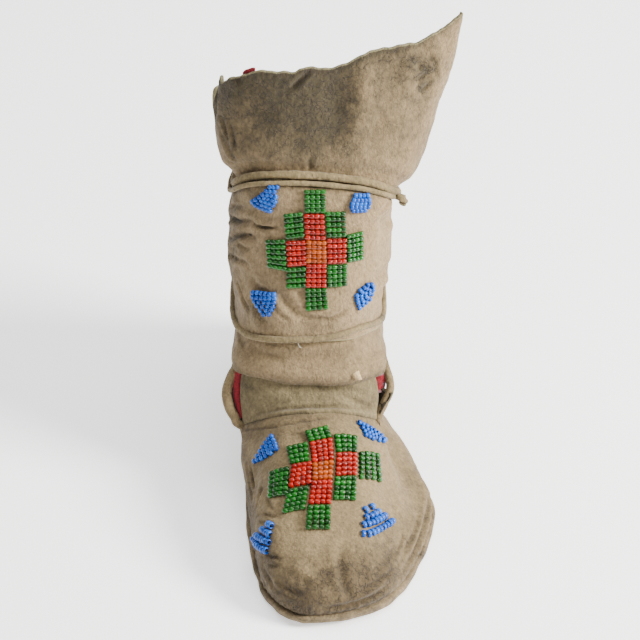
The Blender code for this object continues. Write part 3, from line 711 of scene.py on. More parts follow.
# A near-black hide for the sheet behind the medial ear: painted shade.
shade_hide = hide_finish("shade_hide", (34, 26, 20), (20, 16, 12))
green_bead = glass_finish("green_bead", (0, 30, 3), (14, 92, 14))
red_bead = glass_finish("red_bead", (96, 3, 0), (160, 18, 0))
amber_bead = glass_finish("amber_bead", (112, 36, 0), (160, 68, 0))
blue_bead = glass_finish("blue_bead", (6, 54, 136), (20, 92, 184), 0.0, 0.2)
red_felt = fibre_finish("red_felt", (88, 0, 12), (142, 4, 26), 0.0006, 0.00025, 0.05)
thread = fibre_finish("thread", (84, 80, 68), (150, 146, 130))
dark_thread = fibre_finish("dark_thread", (34, 24, 20), (64, 50, 40))


# The marks of each piece. Creases: depth, width, lip, darkness, then points; a crease's darkness is painted shade
# along it, and below zero, on a ridge, a painted highlight. Patches: darkness, radius, then the place; the pale ones,
# below zero, are mostly painted highlights on ridges and on the lit lateral side. Places on the shaft and the panel
# are degrees from the front, positive to the lateral side, and height.
def on_shaft(turn, z, out=0.0):
    """A place on the shaft: degrees from the front, height in millimetres, metres out."""
    return shaft_point(np.radians(turn), np.asarray(z, float) * MM, out)


def on_upper(turn, step):
    """A place on the upper: degrees round the sole, and the share of the rise."""
    return upper_point(np.radians(turn), step)


def on_tongue(turn, step):
    """A place on the tongue: degrees round the sole, and the share of its length."""
    return tongue_point(np.radians(turn), step)


SHAFT_CREASES = (
    (0.90, 1.0, 0.40, 0.44, (-13.2, 164.8), (-17.0, 162.0), (-21.5, 158.6), (-26, 156.5)),
    (0.90, 1.5, 0.30, 0.24, (-62, 159), (-58.3, 158), (-54, 157)),
    (0.85, 0.9, 0.50, 0.28, (-76, 141.5), (-66, 138.0), (-58, 133.0), (-53, 130.0)),
    (0.80, 0.9, 0.50, 0.28, (-72, 136.5), (-62, 132.4), (-52, 128.0)),
    (0.65, 0.8, 0.40, 0.24, (-62, 141.0), (-56, 137.0), (-50, 131.0)),
    (1.20, 1.6, 0.50, 0.56, (-91, 157), (-90, 149), (-89, 140), (-88, 133)),
    (0.60, 0.9, 0.30, 0.24, (-6.2, 134.0), (-5.0, 131.0), (-5.4, 128.5)),
    (-1.50, 5.2, 0.00, -0.12, (11.5, 171.5), (13, 161), (13.5, 152), (13.5, 143), (14, 136)),
    (1.00, 4.6, 0.00, 0.13, (-2, 166), (0, 156), (2, 146), (0, 138)),
    (0.90, 3.0, 0.30, 0.12, (40, 172), (47, 166), (50, 158), (54, 150)),
    (0.60, 1.2, 0.40, 0.20, (33, 168.5), (40, 166.5), (46, 163.0)),
    (0.60, 1.0, 0.40, 0.24, (44, 157.0), (49, 155.0), (54, 156.0)),
    (0.50, 0.9, 0.40, 0.20, (38, 162.0), (44, 160.0), (50, 161.0)),
    (0.50, 0.9, 0.35, 0.16, (48, 168.0), (54, 165.0), (58, 160.0)),
    (0.80, 4.0, 0.00, 0.10, (-50, 150), (-38, 146), (-26, 147)),
    (-0.90, 5.0, 0.00, 0.00, (-45, 138), (-30, 134), (-14, 133)),
    (0.80, 3.0, 0.00, 0.08, (20, 136), (34, 133), (50, 131)),
    (-0.70, 4.0, 0.00, 0.00, (24, 146), (36, 142), (48, 141)),
    (0.50, 1.2, 0.30, 0.12, (-78, 60.5), (-66, 59.0), (-52, 59.5)),
    (0.70, 1.8, 0.25, 0.13, (-46, 61.5), (-28, 61.0), (-8, 62.0), (8, 62.0), (30, 62.5)),
    (0.50, 1.0, 0.35, 0.13, (-30, 59.5), (-20, 60.5), (-10, 59.5)),
    (0.45, 0.9, 0.30, 0.11, (6, 58.5), (18, 57.6), (30, 58.4), (42, 57.8)),
    (-1.10, 3.0, 0.00, -0.12, (-56, 55.0), (-25, 55.6), (5, 54.8), (40, 54.8), (60, 54.0)),
)
SHAFT_PATCHES = (
    (0.12, 11.0, -11.7, 158.6), (0.11, 11.0, -8.0, 139.0), (0.07, 8.0, -20.0, 148.0), (0.10, 5.5, 33.0, 168.0),
    (0.27, 2.0, 50.0, 156.5), (0.18, 4.0, 46.0, 163.0), (0.18, 2.0, 40.0, 169.0), (0.10, 7.0, 15.0, 134.0),
    (-0.22, 6.0, 13.5, 160.0), (-0.20, 7.0, 28.0, 150.0), (-0.10, 7.0, -40.0, 152.0), (0.08, 6.0, -48.0, 134.0),
    (0.13, 5.0, -60.0, 128.0), (0.08, 4.0, -20.0, 60.0), (0.08, 4.0, 20.0, 61.0), (-0.14, 5.0, 30.0, 55.0),
    (-0.12, 5.0, -30.0, 55.0), (0.18, 3.0, -56.0, 60.0),
)
PANEL_CREASES = (
    (1.30, 0.70, 0.60, 0.72, (-43.5, 107.2), (-34, 107.4), (-27, 108.2), (-21, 108.9)),
    (1.50, 1.1, 0.85, 0.33, (-88, 97.0), (-72, 101.5), (-58.7, 104.6), (-49, 107.3), (-40, 108.6)),
    (1.30, 1.0, 0.75, 0.28, (-78, 91.5), (-64, 97.0), (-54, 100.6), (-44, 102.6), (-38, 102.0)),
    (0.90, 0.9, 0.55, 0.19, (-80, 103.5), (-70, 107.5), (-60, 109.8), (-52, 111.5)),
    (0.80, 1.0, 0.50, 0.14, (-74, 87.5), (-60, 90.0), (-48, 92.0), (-40, 91.0)),
    (0.70, 0.9, 0.45, 0.14, (-60, 97.0), (-50, 97.0), (-42, 98.0)),
    (1.00, 1.0, 0.50, 0.25, (-58, 82.5), (-54, 78.5), (-49, 76.0), (-42, 74.5)),
    (1.10, 1.7, 0.60, 0.17, (-17, 86.0), (-11, 82.0), (-6, 79.0), (-1, 77.2)),
    (1.00, 0.9, 0.55, 0.30, (-3, 77.6), (4, 76.6), (10, 76.4), (17, 77.6), (22, 79.5)),
    (0.80, 1.5, 0.40, 0.11, (-40, 88.0), (-32, 85.0), (-24, 86.0)),
    (0.60, 0.9, 0.35, 0.11, (-20, 80.5), (-14, 77.5), (-8, 75.5)),
    (-1.10, 4.2, 0.00, 0.00, (-84, 90.0), (-76, 89.0), (-68, 87.0)),
    (-1.10, 4.0, 0.00, -0.10, (38, 108.0), (44, 100.0), (48, 92.0)),
    (1.20, 2.2, 0.40, 0.08, (50, 111.0), (56, 104.5), (70, 101.0), (84, 100.0)),
    (1.30, 2.0, 0.50, 0.10, (44, 87.0), (58, 84.0), (72, 82.0), (86, 81.0)),
    (-1.10, 3.4, 0.00, -0.08, (50, 93.5), (60, 95.0), (74, 96.0), (86, 96.0)),
    (0.90, 1.5, 0.45, 0.08, (42, 79.0), (56, 77.5), (70, 76.0), (84, 75.0)),
    (-0.80, 3.2, 0.00, -0.06, (10, 73.0), (28, 75.5), (42, 80.0)),
    (0.80, 1.6, 0.40, 0.09, (-36, 79.0), (-30, 74.5), (-24, 72.0)),
    (0.60, 0.9, 0.40, 0.08, (34, 112.5), (42, 113.0), (50, 115.0)),
)
PANEL_PATCHES = (
    (0.13, 8.0, -62, 100), (0.10, 8.0, -50, 90), (0.10, 6.0, -56, 80), (0.07, 6.0, -30, 100), (0.10, 5.0, -40, 75),
    (0.17, 5.0, 2, 73.5), (0.11, 6.0, 22, 73), (-0.20, 6.0, 30, 113), (-0.24, 8.0, 44, 98), (-0.16, 6.0, 34, 86),
    (-0.10, 5.0, -24, 114), (-0.16, 4.0, -20, 79), (0.10, 4.0, -66, 112), (0.08, 4.0, 56, 103), (0.08, 4.0, 58, 83),
)
shaft_marks = Marks(on_shaft, SHAFT_CREASES, SHAFT_PATCHES)
panel_marks = Marks(lambda t, z: on_shaft(t, z, GAP + PANEL_T), PANEL_CREASES, PANEL_PATCHES)


def turns(count, front=0.30):
    """Columns round a piece, closer together at the front."""
    u = 2 * math.pi * np.arange(count) / count
    return u - front * np.sin(u)


# The rim and the hem in front, as they are cut in the photo: degrees from the front, and height
RIM_CUT = (
    (-79.3, 153.3), (-68.7, 156.5), (-58.7, 158.3), (-51.7, 160.0), (-44.7, 162.1), (-37.3, 162.6), (-29.3, 162.9),
    (-21.7, 162.9), (-19.3, 164.4), (-16.3, 165.3), (-9.0, 164.7), (-4.0, 165.0), (-0.3, 165.9), (3.7, 166.7),
    (7.0, 168.2), (9.7, 169.6), (14.3, 170.8), (21.3, 171.7), (29.7, 172.6), (38.7, 172.9), (43.0, 173.7),
    (47.7, 174.9), (53.3, 176.4), (61.0, 177.8), (66.7, 179.6), (73.3, 180.7),
)
HEM_CUT = ((-70, 48.6), (-58, 50.4), (-49, 51.4), (-44, 52.0), (-30, 52.0), (-15, 51.6), (0, 50.4), (6, 49.8),
           (18, 49.9), (36, 50.4), (53, 50.2), (69, 48.2))


def cut_line(table, turn, solid, reach):
    """The solid's own line, led over to the cut line of the table within its reach."""
    d = angle(turn)
    share = ease(d, (table[0][0] - reach, table[0][0], table[-1][0], table[-1][0] + reach), (0, 1, 1, 0))
    return solid + (straight(table, d) * MM - solid) * share


def rim_line(turn):
    """The cut rim, with its small unevenness."""
    d = angle(turn)
    return cut_line(RIM_CUT, turn, rim_z(turn), 6) + (0.16 * np.sin(d / 2.3) + 0.12 * np.sin(d / 1.1 + 1.2)) * MM


def hem_line(turn):
    """The cut hem, with its small unevenness."""
    return cut_line(HEM_CUT, turn, hem_z(turn), 14) + 0.2 * np.sin(angle(turn) / 5.3) * MM


# Darkness of the flare, the panel and the upper round the boot: degrees, then how dark. Darker on the medial side
# and paler on the lateral side: painted shade away from the key light on the right, partly the hide's own tone.
FLARE_DARK = ((-90, -40, -8, 6, 26, 44, 64, 100), (0.66, 0.78, 0.80, 0.62, 0.34, 0.18, 0.08, 0.15))
PANEL_DARK = ((-100, -45, -10, 20, 60, 110), (0.40, 0.28, 0.12, 0.0, -0.10, 0.1))
UPPER_DARK = ((-80, -45, -20), (0.26, 0.12, 0))


def build_shaft():
    """The slack tube: flared, with a scaly patch and a back flap, pressed in behind the panel, folded at the hem."""
    t = turns(SHAFT_FACE[0])
    rows = np.linspace(0, 1, SHAFT_FACE[1])[:, None]
    low, high = hem_line(t)[None], rim_line(t)[None]
    z = low + (high - low) * rows
    turn = np.broadcast_to(t, z.shape)
    d = angle(turn)
    base = shaft_point(turn, z)
    over, under = panel_high(t) + 1 * MM - z, z - (panel_low(t) - 4 * MM)
    behind = ease(under, (0, 3 * MM), (0, 1)) * ease(over, (0, 3 * MM), (0, 1))
    flare = ease(z / SHAFT_H, (0.75, 0.88), (0, 1))
    patch = hump(d, 47, 13) * hump(z / MM, 161, 9)
    scaly = smooth_noise(base, 3 * MM, 4)
    moved = shaft_marks.relief(base) + uneven(base, (0.60, 16, 1), (0.26, 5.5, 2))
    moved += flare * uneven(base, (0.20, 2.1, 3)) + (0.70 * patch * scaly + 1.9 * hump(d, -104, 12) * flare) * MM
    moved *= 1 - behind
    moved += (0.8 * hump(z, low + 3.6 * MM, 2.4 * MM) - 0.6 * behind) * MM
    moved -= 0.6 * MM * (1 - ease(z - low, (0, 1.8 * MM), (0, 1)))
    # Painted shade: the flare darker on its medial side away from the key light, partly the hide's own tone, and on
    # the back flap behind the slit; darker along the hem where it rolls in. The band just under the rim is darker
    # too.
    soil = shaft_marks.soil(base) + flare * (ease(d, *FLARE_DARK) + 0.5 * hump(d, -112, 16))
    soil += patch * (0.18 + 0.45 * np.clip(scaly, -1, 1))
    soil += 0.35 * (1 - ease(z - low, (0, 2.5 * MM), (0, 1))) + 0.35 * hump(z, high, 1.6 * MM)
    obj = shell("shaft", base, moved, WALL, shaft_hide, soil, inner_rows=40, edge_pale=0.9, low_pale=0.1)
    keep(obj, "shaft_hide", "shaft")


def build_panel():
    """The beaded band: creased and slack at its sides, quiet under the cross."""
    t = turns(PANEL_FACE[0])
    rows = np.linspace(0, 1, PANEL_FACE[1])[:, None]
    low = panel_low(t)[None] + (0.3 * np.sin(angle(t) / 6.1) * MM)[None]
    high = panel_high(t)[None]
    z = low + (high - low) * rows
    turn = np.broadcast_to(t, z.shape)
    d = angle(turn)
    skin = shaft_point(turn, z)
    base = skin + normals(skin) * (GAP + PANEL_T)
    quiet = 1 - 0.75 * hump(base[..., 0], 2 * MM, 20 * MM) * (base[..., 1] < 30 * MM)
    moved = panel_marks.relief(base) + quiet * uneven(base, (0.75, 14, 5), (0.42, 5, 6))
    moved += ease(np.abs(d), (45, 75), (0, 1)) * uneven(base, (1.0, 9, 7)) - 0.6 * MM * hump(z, high, 2.0 * MM)
    # Painted shade: darker on the medial side, partly the hide's own tone, paler on the lateral side, and darker
    # along the upper edge under the thong.
    soil = panel_marks.soil(base) + ease(d, *PANEL_DARK) + 0.4 * hump(z, high, 2.2 * MM)
    keep(shell("panel", base, moved, PANEL_T, panel_hide, soil, inner_rows=20), "panel_hide", "shaft_panel")


# Places on the upper are degrees round the sole from the toe, positive round the lateral side, and the share of the
# rise.
UPPER_CREASES = (
    (1.50, 1.0, 0.55, 0.49, (-51, 0.64), (-50, 0.60), (-48.5, 0.56), (-47, 0.53)),
    (1.40, 1.0, 0.60, 0.39, (-34.5, 0.63), (-37.5, 0.56), (-39.5, 0.50), (-43, 0.43)),
    (1.00, 0.9, 0.50, 0.22, (-42, 0.41), (-34, 0.49), (-28, 0.53), (-20, 0.555)),
    (0.90, 0.9, 0.45, 0.20, (-44, 0.36), (-36, 0.44), (-30, 0.48), (-24, 0.50)),
    (0.80, 0.8, 0.40, 0.17, (-56, 0.66), (-54, 0.58), (-52, 0.50), (-50, 0.42)),
    (0.70, 0.8, 0.40, 0.17, (-30, 0.60), (-26, 0.575), (-22, 0.57)),
    (0.80, 0.8, 0.40, 0.28, (-30, 0.33), (-26, 0.345), (-22.5, 0.36), (-19.5, 0.355)),
    (0.60, 0.7, 0.30, 0.24, (-27, 0.30), (-23, 0.315), (-20, 0.335)),
    (-0.80, 2.4, 0.00, -0.06, (-12, 0.36), (-2, 0.30), (6, 0.22)),
    (0.90, 1.5, 0.40, 0.11, (13.5, 0.46), (12, 0.34), (13, 0.22), (16, 0.11)),
    (0.55, 0.65, 0.35, 0.39, (-63, 0.955), (-46, 0.948), (-30, 0.950), (-14, 0.962), (0, 0.972), (16, 0.982)),
    (1.00, 1.0, 0.65, 0.32, (76, 0.10), (68, 0.12), (58, 0.125), (48, 0.125), (39, 0.14)),
    (0.90, 0.9, 0.55, 0.32, (30, 0.13), (22, 0.10), (12, 0.09), (4, 0.10)),
    (0.80, 0.9, 0.45, 0.21, (62, 0.20), (54, 0.19), (47, 0.20), (40, 0.215)),
    (0.70, 0.8, 0.40, 0.21, (46, 0.26), (40, 0.245), (34, 0.25)),
    (0.65, 1.2, 0.35, 0.14, (26, 0.30), (34, 0.27), (44, 0.29)),
    (0.60, 0.8, 0.40, 0.20, (18, 0.18), (26, 0.20), (33, 0.19)),
    (0.60, 1.3, 0.30, 0.10, (-6, 0.30), (0, 0.26), (8, 0.26)),
    (0.70, 1.2, 0.40, 0.14, (-22, 0.24), (-14, 0.20), (-6, 0.20)),
    (0.60, 1.0, 0.30, 0.14, (-34, 0.22), (-26, 0.18), (-18, 0.16)),
    (0.70, 2.0, 0.30, 0.08, (-64, 0.88), (-48, 0.88), (-34, 0.91)),
    (-0.50, 4.0, 0.00, 0.00, (48, 0.70), (54, 0.60), (60, 0.46)),
    (0.60, 4.0, 0.00, 0.04, (36, 0.62), (44, 0.52), (50, 0.42)),
    (0.60, 1.4, 0.30, 0.14, (-84, 0.30), (-92, 0.50), (-98, 0.70)),
    (0.60, 1.6, 0.30, 0.14, (96, 0.28), (104, 0.50), (108, 0.72)),
    (0.60, 1.6, 0.30, 0.14, (-118, 0.28), (-124, 0.50), (-122, 0.74)),
    (0.60, 1.6, 0.30, 0.14, (126, 0.30), (130, 0.54), (126, 0.78)),
    (0.70, 1.6, 0.35, 0.10, (160, 0.46), (176, 0.42), (192, 0.46), (206, 0.44)),
)
UPPER_PATCHES = (
    (0.16, 4.0, -10.4, 0.40), (0.13, 4.4, 14.2, 0.54), (0.14, 6.0, 16.3, 0.36), (0.24, 2.0, 6.2, 0.31),
    (0.30, 2.6, -3.8, 0.18), (0.17, 5.0, 31.3, 0.21), (0.18, 3.0, 33.0, 0.14), (0.22, 3.0, -6.5, 0.10),
    (0.22, 2.4, 14.0, 0.04), (0.20, 4.0, -26.0, 0.34), (0.18, 7.0, -30.0, 0.22), (0.16, 9.0, 10.0, 0.24),
    (0.16, 9.0, -6.0, 0.16), (0.12, 6.0, -20.0, 0.12), (0.13, 7.0, 30.0, 0.28), (-0.14, 7.0, 2.0, 0.46),
    (-0.16, 8.0, 56.0, 0.50),
    (-0.12, 7.0, 30.0, 0.60), (0.08, 5.0, -52.0, 0.50), (0.12, 4.0, -60.0, 0.70), (0.07, 5.0, 48.0, 0.30),
    (0.27, 1.2, 45.0, 0.43), (0.21, 1.0, 38.0, 0.50), (0.21, 1.1, 24.0, 0.27), (0.24, 1.0, -14.0, 0.31),
    (0.18, 1.0, 2.0, 0.37), (0.21, 0.9, 20.0, 0.22), (0.12, 4.0, -5.0, 0.92), (0.18, 6.0, 24.0, 0.06),
)
upper_marks = Marks(on_upper, UPPER_CREASES, UPPER_PATCHES)


def build_upper():
    """The soft upper: quiet under its cross, puckered along the sole, its ears pulled in."""
    rows = np.linspace(0, 1, UPPER_FACE[1])[:, None] ** 0.95
    turn, step = np.broadcast_arrays(turns(UPPER_FACE[0], 0.12)[None], rows)
    d = angle(turn)
    off = np.abs(d)
    base = upper_point(turn, step)
    hold = np.sin(np.pi * np.clip(step, 0, 1)) ** 0.5
    quiet = 1 - 0.8 * hump(base[..., 0], 5 * MM, 22 * MM) * hump(base[..., 1], -40 * MM, 24 * MM)
    moved = upper_marks.relief(base) + hold * quiet * uneven(base, (0.75, 14, 11), (0.40, 5, 12))
    ear = ease(off, (62, 72, 76, 84, 90, 96), (0, 0.5, 1, 1, 0.9, 0)) * ease(step, (0.45, 0.95), (0, 1))
    moved -= ear * np.where(d < 0, 1.5, 2.4) * MM
    moved -= 1.2 * MM * ease(d, (58, 64, 74, 80), (0, 1, 1, 0)) * ease(step, (0.6, 0.95), (0, 1))
    pucker = hump(step, 0.05, 0.045) * ease(off, (60, 78), (1, 0.5))
    moved += 0.34 * MM * pucker * np.sin(d * 1.9 + 2.5 * smooth_noise(base, 10 * MM, 13))
    moved -= 0.45 * MM * hump(step, 0, 0.02)
    low = ease(step, (0, 0.10, 0.30, 0.50), (0.60, 0.50, 0.36, 0.0))
    soil = upper_marks.soil(base) + low * ease(d, (-70, -30, 20, 50, 80), (0.8, 1.0, 1.0, 0.55, 0.4))
    # UPPER_DARK darkens the medial side: painted shade away from the key light, partly the hide's own tone.
    soil += 0.30 * ease(off, (95, 140), (0, 1)) * (1 - step) + ease(d, *UPPER_DARK)
    soil += 0.26 * ease(step, (0.80, 1.0), (0, 1)) * ease(off, (60, 80), (1, 0.3))
    keep(shell("upper", base, moved, WALL, upper_hide, soil, square=0.9, edge_pale=0.15), "upper_hide", "upper")


TONGUE_CREASES = (
    (-1.00, 1.3, 0.00, -0.05, (-58, 0.040), (-37, 0.036), (-22, 0.038), (-5, 0.042), (10, 0.044), (28, 0.044),
     (58, 0.050)),
    (0.60, 0.8, 0.30, 0.35, (-44, 0.072), (-30, 0.070), (-14, 0.074), (2, 0.080), (20, 0.082), (44, 0.084)),
    (0.90, 1.3, 0.45, 0.18, (10, 0.180), (22, 0.162), (34, 0.140), (48, 0.120)),
    (0.80, 1.2, 0.40, 0.14, (0, 0.205), (16, 0.208), (30, 0.192), (48, 0.175)),
    (0.60, 2.0, 0.30, 0.10, (-40, 0.150), (-24, 0.130), (-8, 0.135)),
    (0.60, 1.2, 0.30, 0.14, (30, 0.112), (42, 0.102), (56, 0.106)),
    (0.60, 2.4, 0.25, 0.08, (-30, 0.230), (-6, 0.220), (14, 0.235)),
)
TONGUE_PATCHES = ((0.20, 5.0, -50, 0.20), (0.16, 5.0, -30, 0.10), (-0.14, 5.0, 24, 0.15), (0.30, 6.0, 0, 0.34),
                 (0.14, 3.0, 50, 0.12), (0.14, 4.0, -10, 0.24))
tongue_marks = Marks(on_tongue, TONGUE_CREASES, TONGUE_PATCHES)


def build_tongue():
    """The tongue, a little narrower towards its lateral top than the solid."""
    span = math.radians(SEAM_END - 2)
    rows = (np.linspace(0, 1, TONGUE_FACE[1]) ** 1.5)[:, None]
    turn, step = np.broadcast_arrays(np.linspace(-span, span, TONGUE_FACE[0])[None], rows)
    turn = turn * (1 - 0.11 * ease(step, (0.08, 0.30), (0, 1)) * ease(turn, (0.3, 0.9), (0, 1)))
    base = tongue_point(turn, step)
    base[0] += (base[1] - base[0]) * 0.2
    seam = hump(step, 0, 0.012)
    moved = tongue_marks.relief(base) + uneven(base, (0.35, 11, 21), (0.18, 4, 22))
    moved -= 0.6 * MM * seam + 0.3 * MM * hump(np.abs(turn), span, 0.05)
    # Painted shade: darker where the tongue goes up behind the hem, and on its medial side. The seam is darker too.
    soil = tongue_marks.soil(base) + 0.25 * ease(step, (0.22, 0.36), (0, 1)) + 0.5 * seam
    soil += 0.12 * (turn < 0) * ease(-turn, (0.2, 0.9), (0, 1))
    obj = shell("tongue", base, moved, WALL, tongue_hide, soil, closed=False, inner_rows=24, square=0.9,
                edge_pale=0.2)
    keep(obj, "tongue_hide", "tongue")


# Height of the middle of each thong at degrees from the front: in front as in the photo, behind as in the solids
LOWER_THONG = (
    (-180, 56.6), (-110, 57.4), (-90, 59.2), (-76, 61.6), (-60, 63.4), (-50, 64.5), (-40, 65.7), (-30, 67.1),
    (-20, 68.2), (-10, 68.8), (0, 69.3), (10, 69.7), (20, 70.2), (30, 70.3), (40, 69.6), (50, 67.8), (62, 65.0),
    (75, 61.6), (110, 57.6), (180, 56.6),
)
TURN_LOW = ((-180, 102.6), (-130, 103.4), (-100, 104.8), (-88, 106.6), (-80, 109.3), (-70, 112.5), (-60, 115.6),
            (-50, 118.7), (-40, 121.2), (-30, 122.9), (-20, 123.7), (-10, 124.2), (0, 123.9), (10, 122.9),
            (20, 121.7), (30, 119.8), (40, 117.3), (50, 114.7), (60, 112.2), (70, 109.7), (80, 107.2), (100, 103.6),
            (180, 102.6))
TURN_HIGH = ((-180, 105.8), (-130, 106.6), (-100, 108.0), (-88, 109.9), (-80, 112.9), (-70, 115.7), (-60, 118.4),
             (-50, 121.4), (-40, 124.1), (-30, 125.7), (-20, 126.8), (-10, 127.2), (0, 127.0), (10, 125.8),
             (20, 124.4), (30, 122.3), (40, 119.4), (50, 116.8), (60, 114.4), (70, 112.2), (80, 110.2), (100, 107.2),
             (180, 105.8))


UPPER_KNOB = ((3.0, -0.5, -3.0), (3.4, -0.7, -1.8), (3.0, -0.7, -0.6), (1.6, -0.4, 0.0))
KNOB_THICK = (2.9, 3.7, 3.4, 2.6)


def thong_path(table, turn, out):
    """Points along a thong laid on the shaft at the table's height, out millimetres off it."""
    z = np.convolve(np.pad(straight(table, angle(turn)) * MM, 4, mode="edge"), np.ones(9) / 9, "valid")
    return shaft_point(turn, z, out * MM)


def build_thongs():
    """The lower ring, and the upper thong from its knob through its lower turn into its upper one."""
    path = thong_path(LOWER_THONG, np.linspace(-math.pi, math.pi, LOWER_ALONG, endpoint=False), 1.9)
    wave = THONG * (1 + 0.12 * smooth_noise(path, 7 * MM, 31) + 0.10 * smooth_noise(path, 2.2 * MM, 35))
    soil = 0.05 + 0.30 * smooth_noise(path, 6 * MM, 32)
    obj = tube("thong_lower", path, 1.06 * wave, wave, thong_hide, soil, closed=True)
    keep(obj, "thong_hide", "thong_lower")
    d = np.linspace(55, -590, UPPER_ALONG)
    share = ease(-d, (245, 275), (0, 1))
    low, high = thong_path(TURN_LOW, np.radians(d), 2.2), thong_path(TURN_HIGH, np.radians(d), 1.4)
    low[:, 2] += 0.9 * MM
    path = low + (high - low) * share[:, None]
    path = np.vstack([path[0] + np.array(UPPER_KNOB) * MM, path[1:]])
    wave = 1 + 0.12 * smooth_noise(path, 8 * MM, 33) + 0.10 * smooth_noise(path, 2.4 * MM, 36)
    thick = np.concatenate([KNOB_THICK, 1.95 + 1.15 * share[1:]]) * MM * wave
    soil = 0.05 + 0.32 * smooth_noise(path, 6 * MM, 34)
    keep(tube("thong_upper", path, thick, thick * 0.92, thong_hide, soil), "thong_hide", "thong_upper")


# Rings of the sole from the middle of its underside round its edge: inset for half the ball width, and share of the
# thickness. Waves of the edge: how far in millimetres, how many round the sole, and where they start.
SOLE_RINGS = ((0.62, 0.0), (0.30, 0.0), (0.10, 0.0), (0.02, 0.06), (0.0, 0.22), (0.004, 0.42), (-0.003, 0.62),
              (0.0, 0.80), (0.02, 0.94), (0.10, 1.0), (0.30, 1.0), (0.62, 1.0))
SOLE_WAVES = ((0.18, 9, 1), (0.14, 23, 0), (0.10, 41, 2))


def build_sole():
    """The flat sole: a thick rawhide sheet with soft, slightly wavy edges and a faint groove round its side."""
    t = 2 * math.pi * np.arange(SOLE_ROUND) / SOLE_ROUND
    wave = sum(high * np.sin(count * t + start) for high, count, start in SOLE_WAVES) * MM
    rings = []
    for inset, up in SOLE_RINGS:
        p = outline(t, np.full(len(t), inset * BALL_W / 2) + (wave if inset < 0.2 else 0))
        rings.append(np.column_stack([p, SOLE_T * up + sole_lift(p[:, 1])]))
    along_y = rings[0][:, 1], rings[-1][:, 1]
    low, top = (np.column_stack([0 * t, y, sole_lift(y) + up]) for y, up in zip(along_y, (0, SOLE_T)))
    rows = np.array([low, *rings, top])
    height = rows[..., 2] - sole_lift(rows[..., 1])
    soil = 0.35 * smooth_noise(rows, 6 * MM, 41) + 0.25 * (rows[..., 2] < 0.5 * MM)
    soil += 0.3 * hump(height, 0.55 * SOLE_T, 0.12 * SOLE_T)
    zero = 0 * height
    obj = mesh_piece("sole", rows.reshape(-1, 3), quads(len(rows), len(t), True, False), sole_hide, soil=soil,
                     edge=zero, inside=zero)
    keep(obj, "sole_hide", "sole")


# Beadwork. Blocks: colour, rows, then the corners top left, top right, bottom right, bottom left. Places on the vamp
# are across from the middle of the ankle and along the foot; places on the panel are across and up.
VAMP_BLOCKS = (
    ("green", 3, (-1.9, -21.4), (6.3, -18.6), (8.2, -23.7), (-0.5, -26.0)),
    ("red", 5, (-0.3, -26.2), (8.2, -23.9), (8.7, -33.1), (0.7, -35.0)),
    ("amber", 4, (0.7, -35.2), (8.7, -33.3), (7.9, -41.4), (0.8, -42.2)),
    ("red", 5, (0.5, -42.4), (8.0, -41.6), (7.6, -51.3), (-0.8, -51.7)),
    ("green", 5, (-1.0, -52.1), (7.6, -51.5), (7.4, -60.9), (-1.8, -61.2)),
    ("green", 4, (8.8, -22.3), (17.2, -20.5), (17.0, -28.2), (9.7, -30.3)),
    ("red", 5, (9.7, -30.3), (17.1, -28.3), (17.0, -38.2), (9.2, -40.3)),
    ("green", 5, (9.1, -40.4), (17.0, -38.4), (16.6, -48.7), (8.2, -49.6)),
    ("green", 6, (17.9, -27.3), (25.5, -22.1), (26.4, -34.6), (17.5, -39.7)),
    ("green", 4, (-8.8, -26.8), (-1.0, -25.8), (-0.6, -34.2), (-7.2, -34.7)),
    ("red", 5, (-6.6, -34.9), (0.5, -34.4), (0.5, -43.6), (-8.1, -44.2)),
    ("green", 5, (-7.9, -44.9), (-0.6, -44.2), (-1.8, -53.3), (-10.2, -53.7)),
    ("green", 6, (-14.6, -34.9), (-7.8, -35.5), (-8.2, -47.1), (-15.2, -45.5)),
)
PANEL_BLOCKS = (
    ("green", 5, (-2.1, 123.0), (5.6, 123.0), (5.7, 115.3), (-1.9, 115.3)),
    ("red", 5, (-2.2, 115.0), (5.1, 115.0), (5.6, 105.4), (-1.8, 105.7)),
    ("amber", 5, (-1.4, 105.7), (5.9, 105.4), (5.9, 97.2), (-1.5, 97.5)),
    ("red", 5, (-1.5, 97.2), (5.9, 97.2), (5.9, 88.2), (-1.8, 88.5)),
    ("green", 5, (-1.8, 88.2), (5.9, 88.2), (6.8, 80.3), (-1.8, 79.7)),
    ("green", 5, (5.5, 115.9), (12.8, 115.6), (13.2, 106.0), (6.0, 106.3)),
    ("red", 5, (6.0, 106.3), (13.2, 105.7), (12.9, 96.4), (6.3, 96.9)),
    ("green", 5, (5.9, 96.6), (13.4, 96.1), (13.4, 87.9), (6.2, 88.2)),
    ("green", 6, (13.1, 106.9), (19.1, 106.9), (19.1, 95.8), (13.6, 96.4)),
    ("green", 5, (-9.6, 114.2), (-2.9, 115.6), (-2.3, 106.6), (-8.6, 105.4)),
    ("red", 5, (-8.8, 105.1), (-1.8, 105.7), (-1.5, 96.6), (-8.1, 95.8)),
    ("green", 4, (-8.6, 95.5), (-1.6, 96.4), (-1.8, 88.2), (-8.6, 87.6)),
    ("green", 6, (-16.1, 103.9), (-9.1, 105.7), (-8.6, 94.0), (-15.4, 94.3)),
)
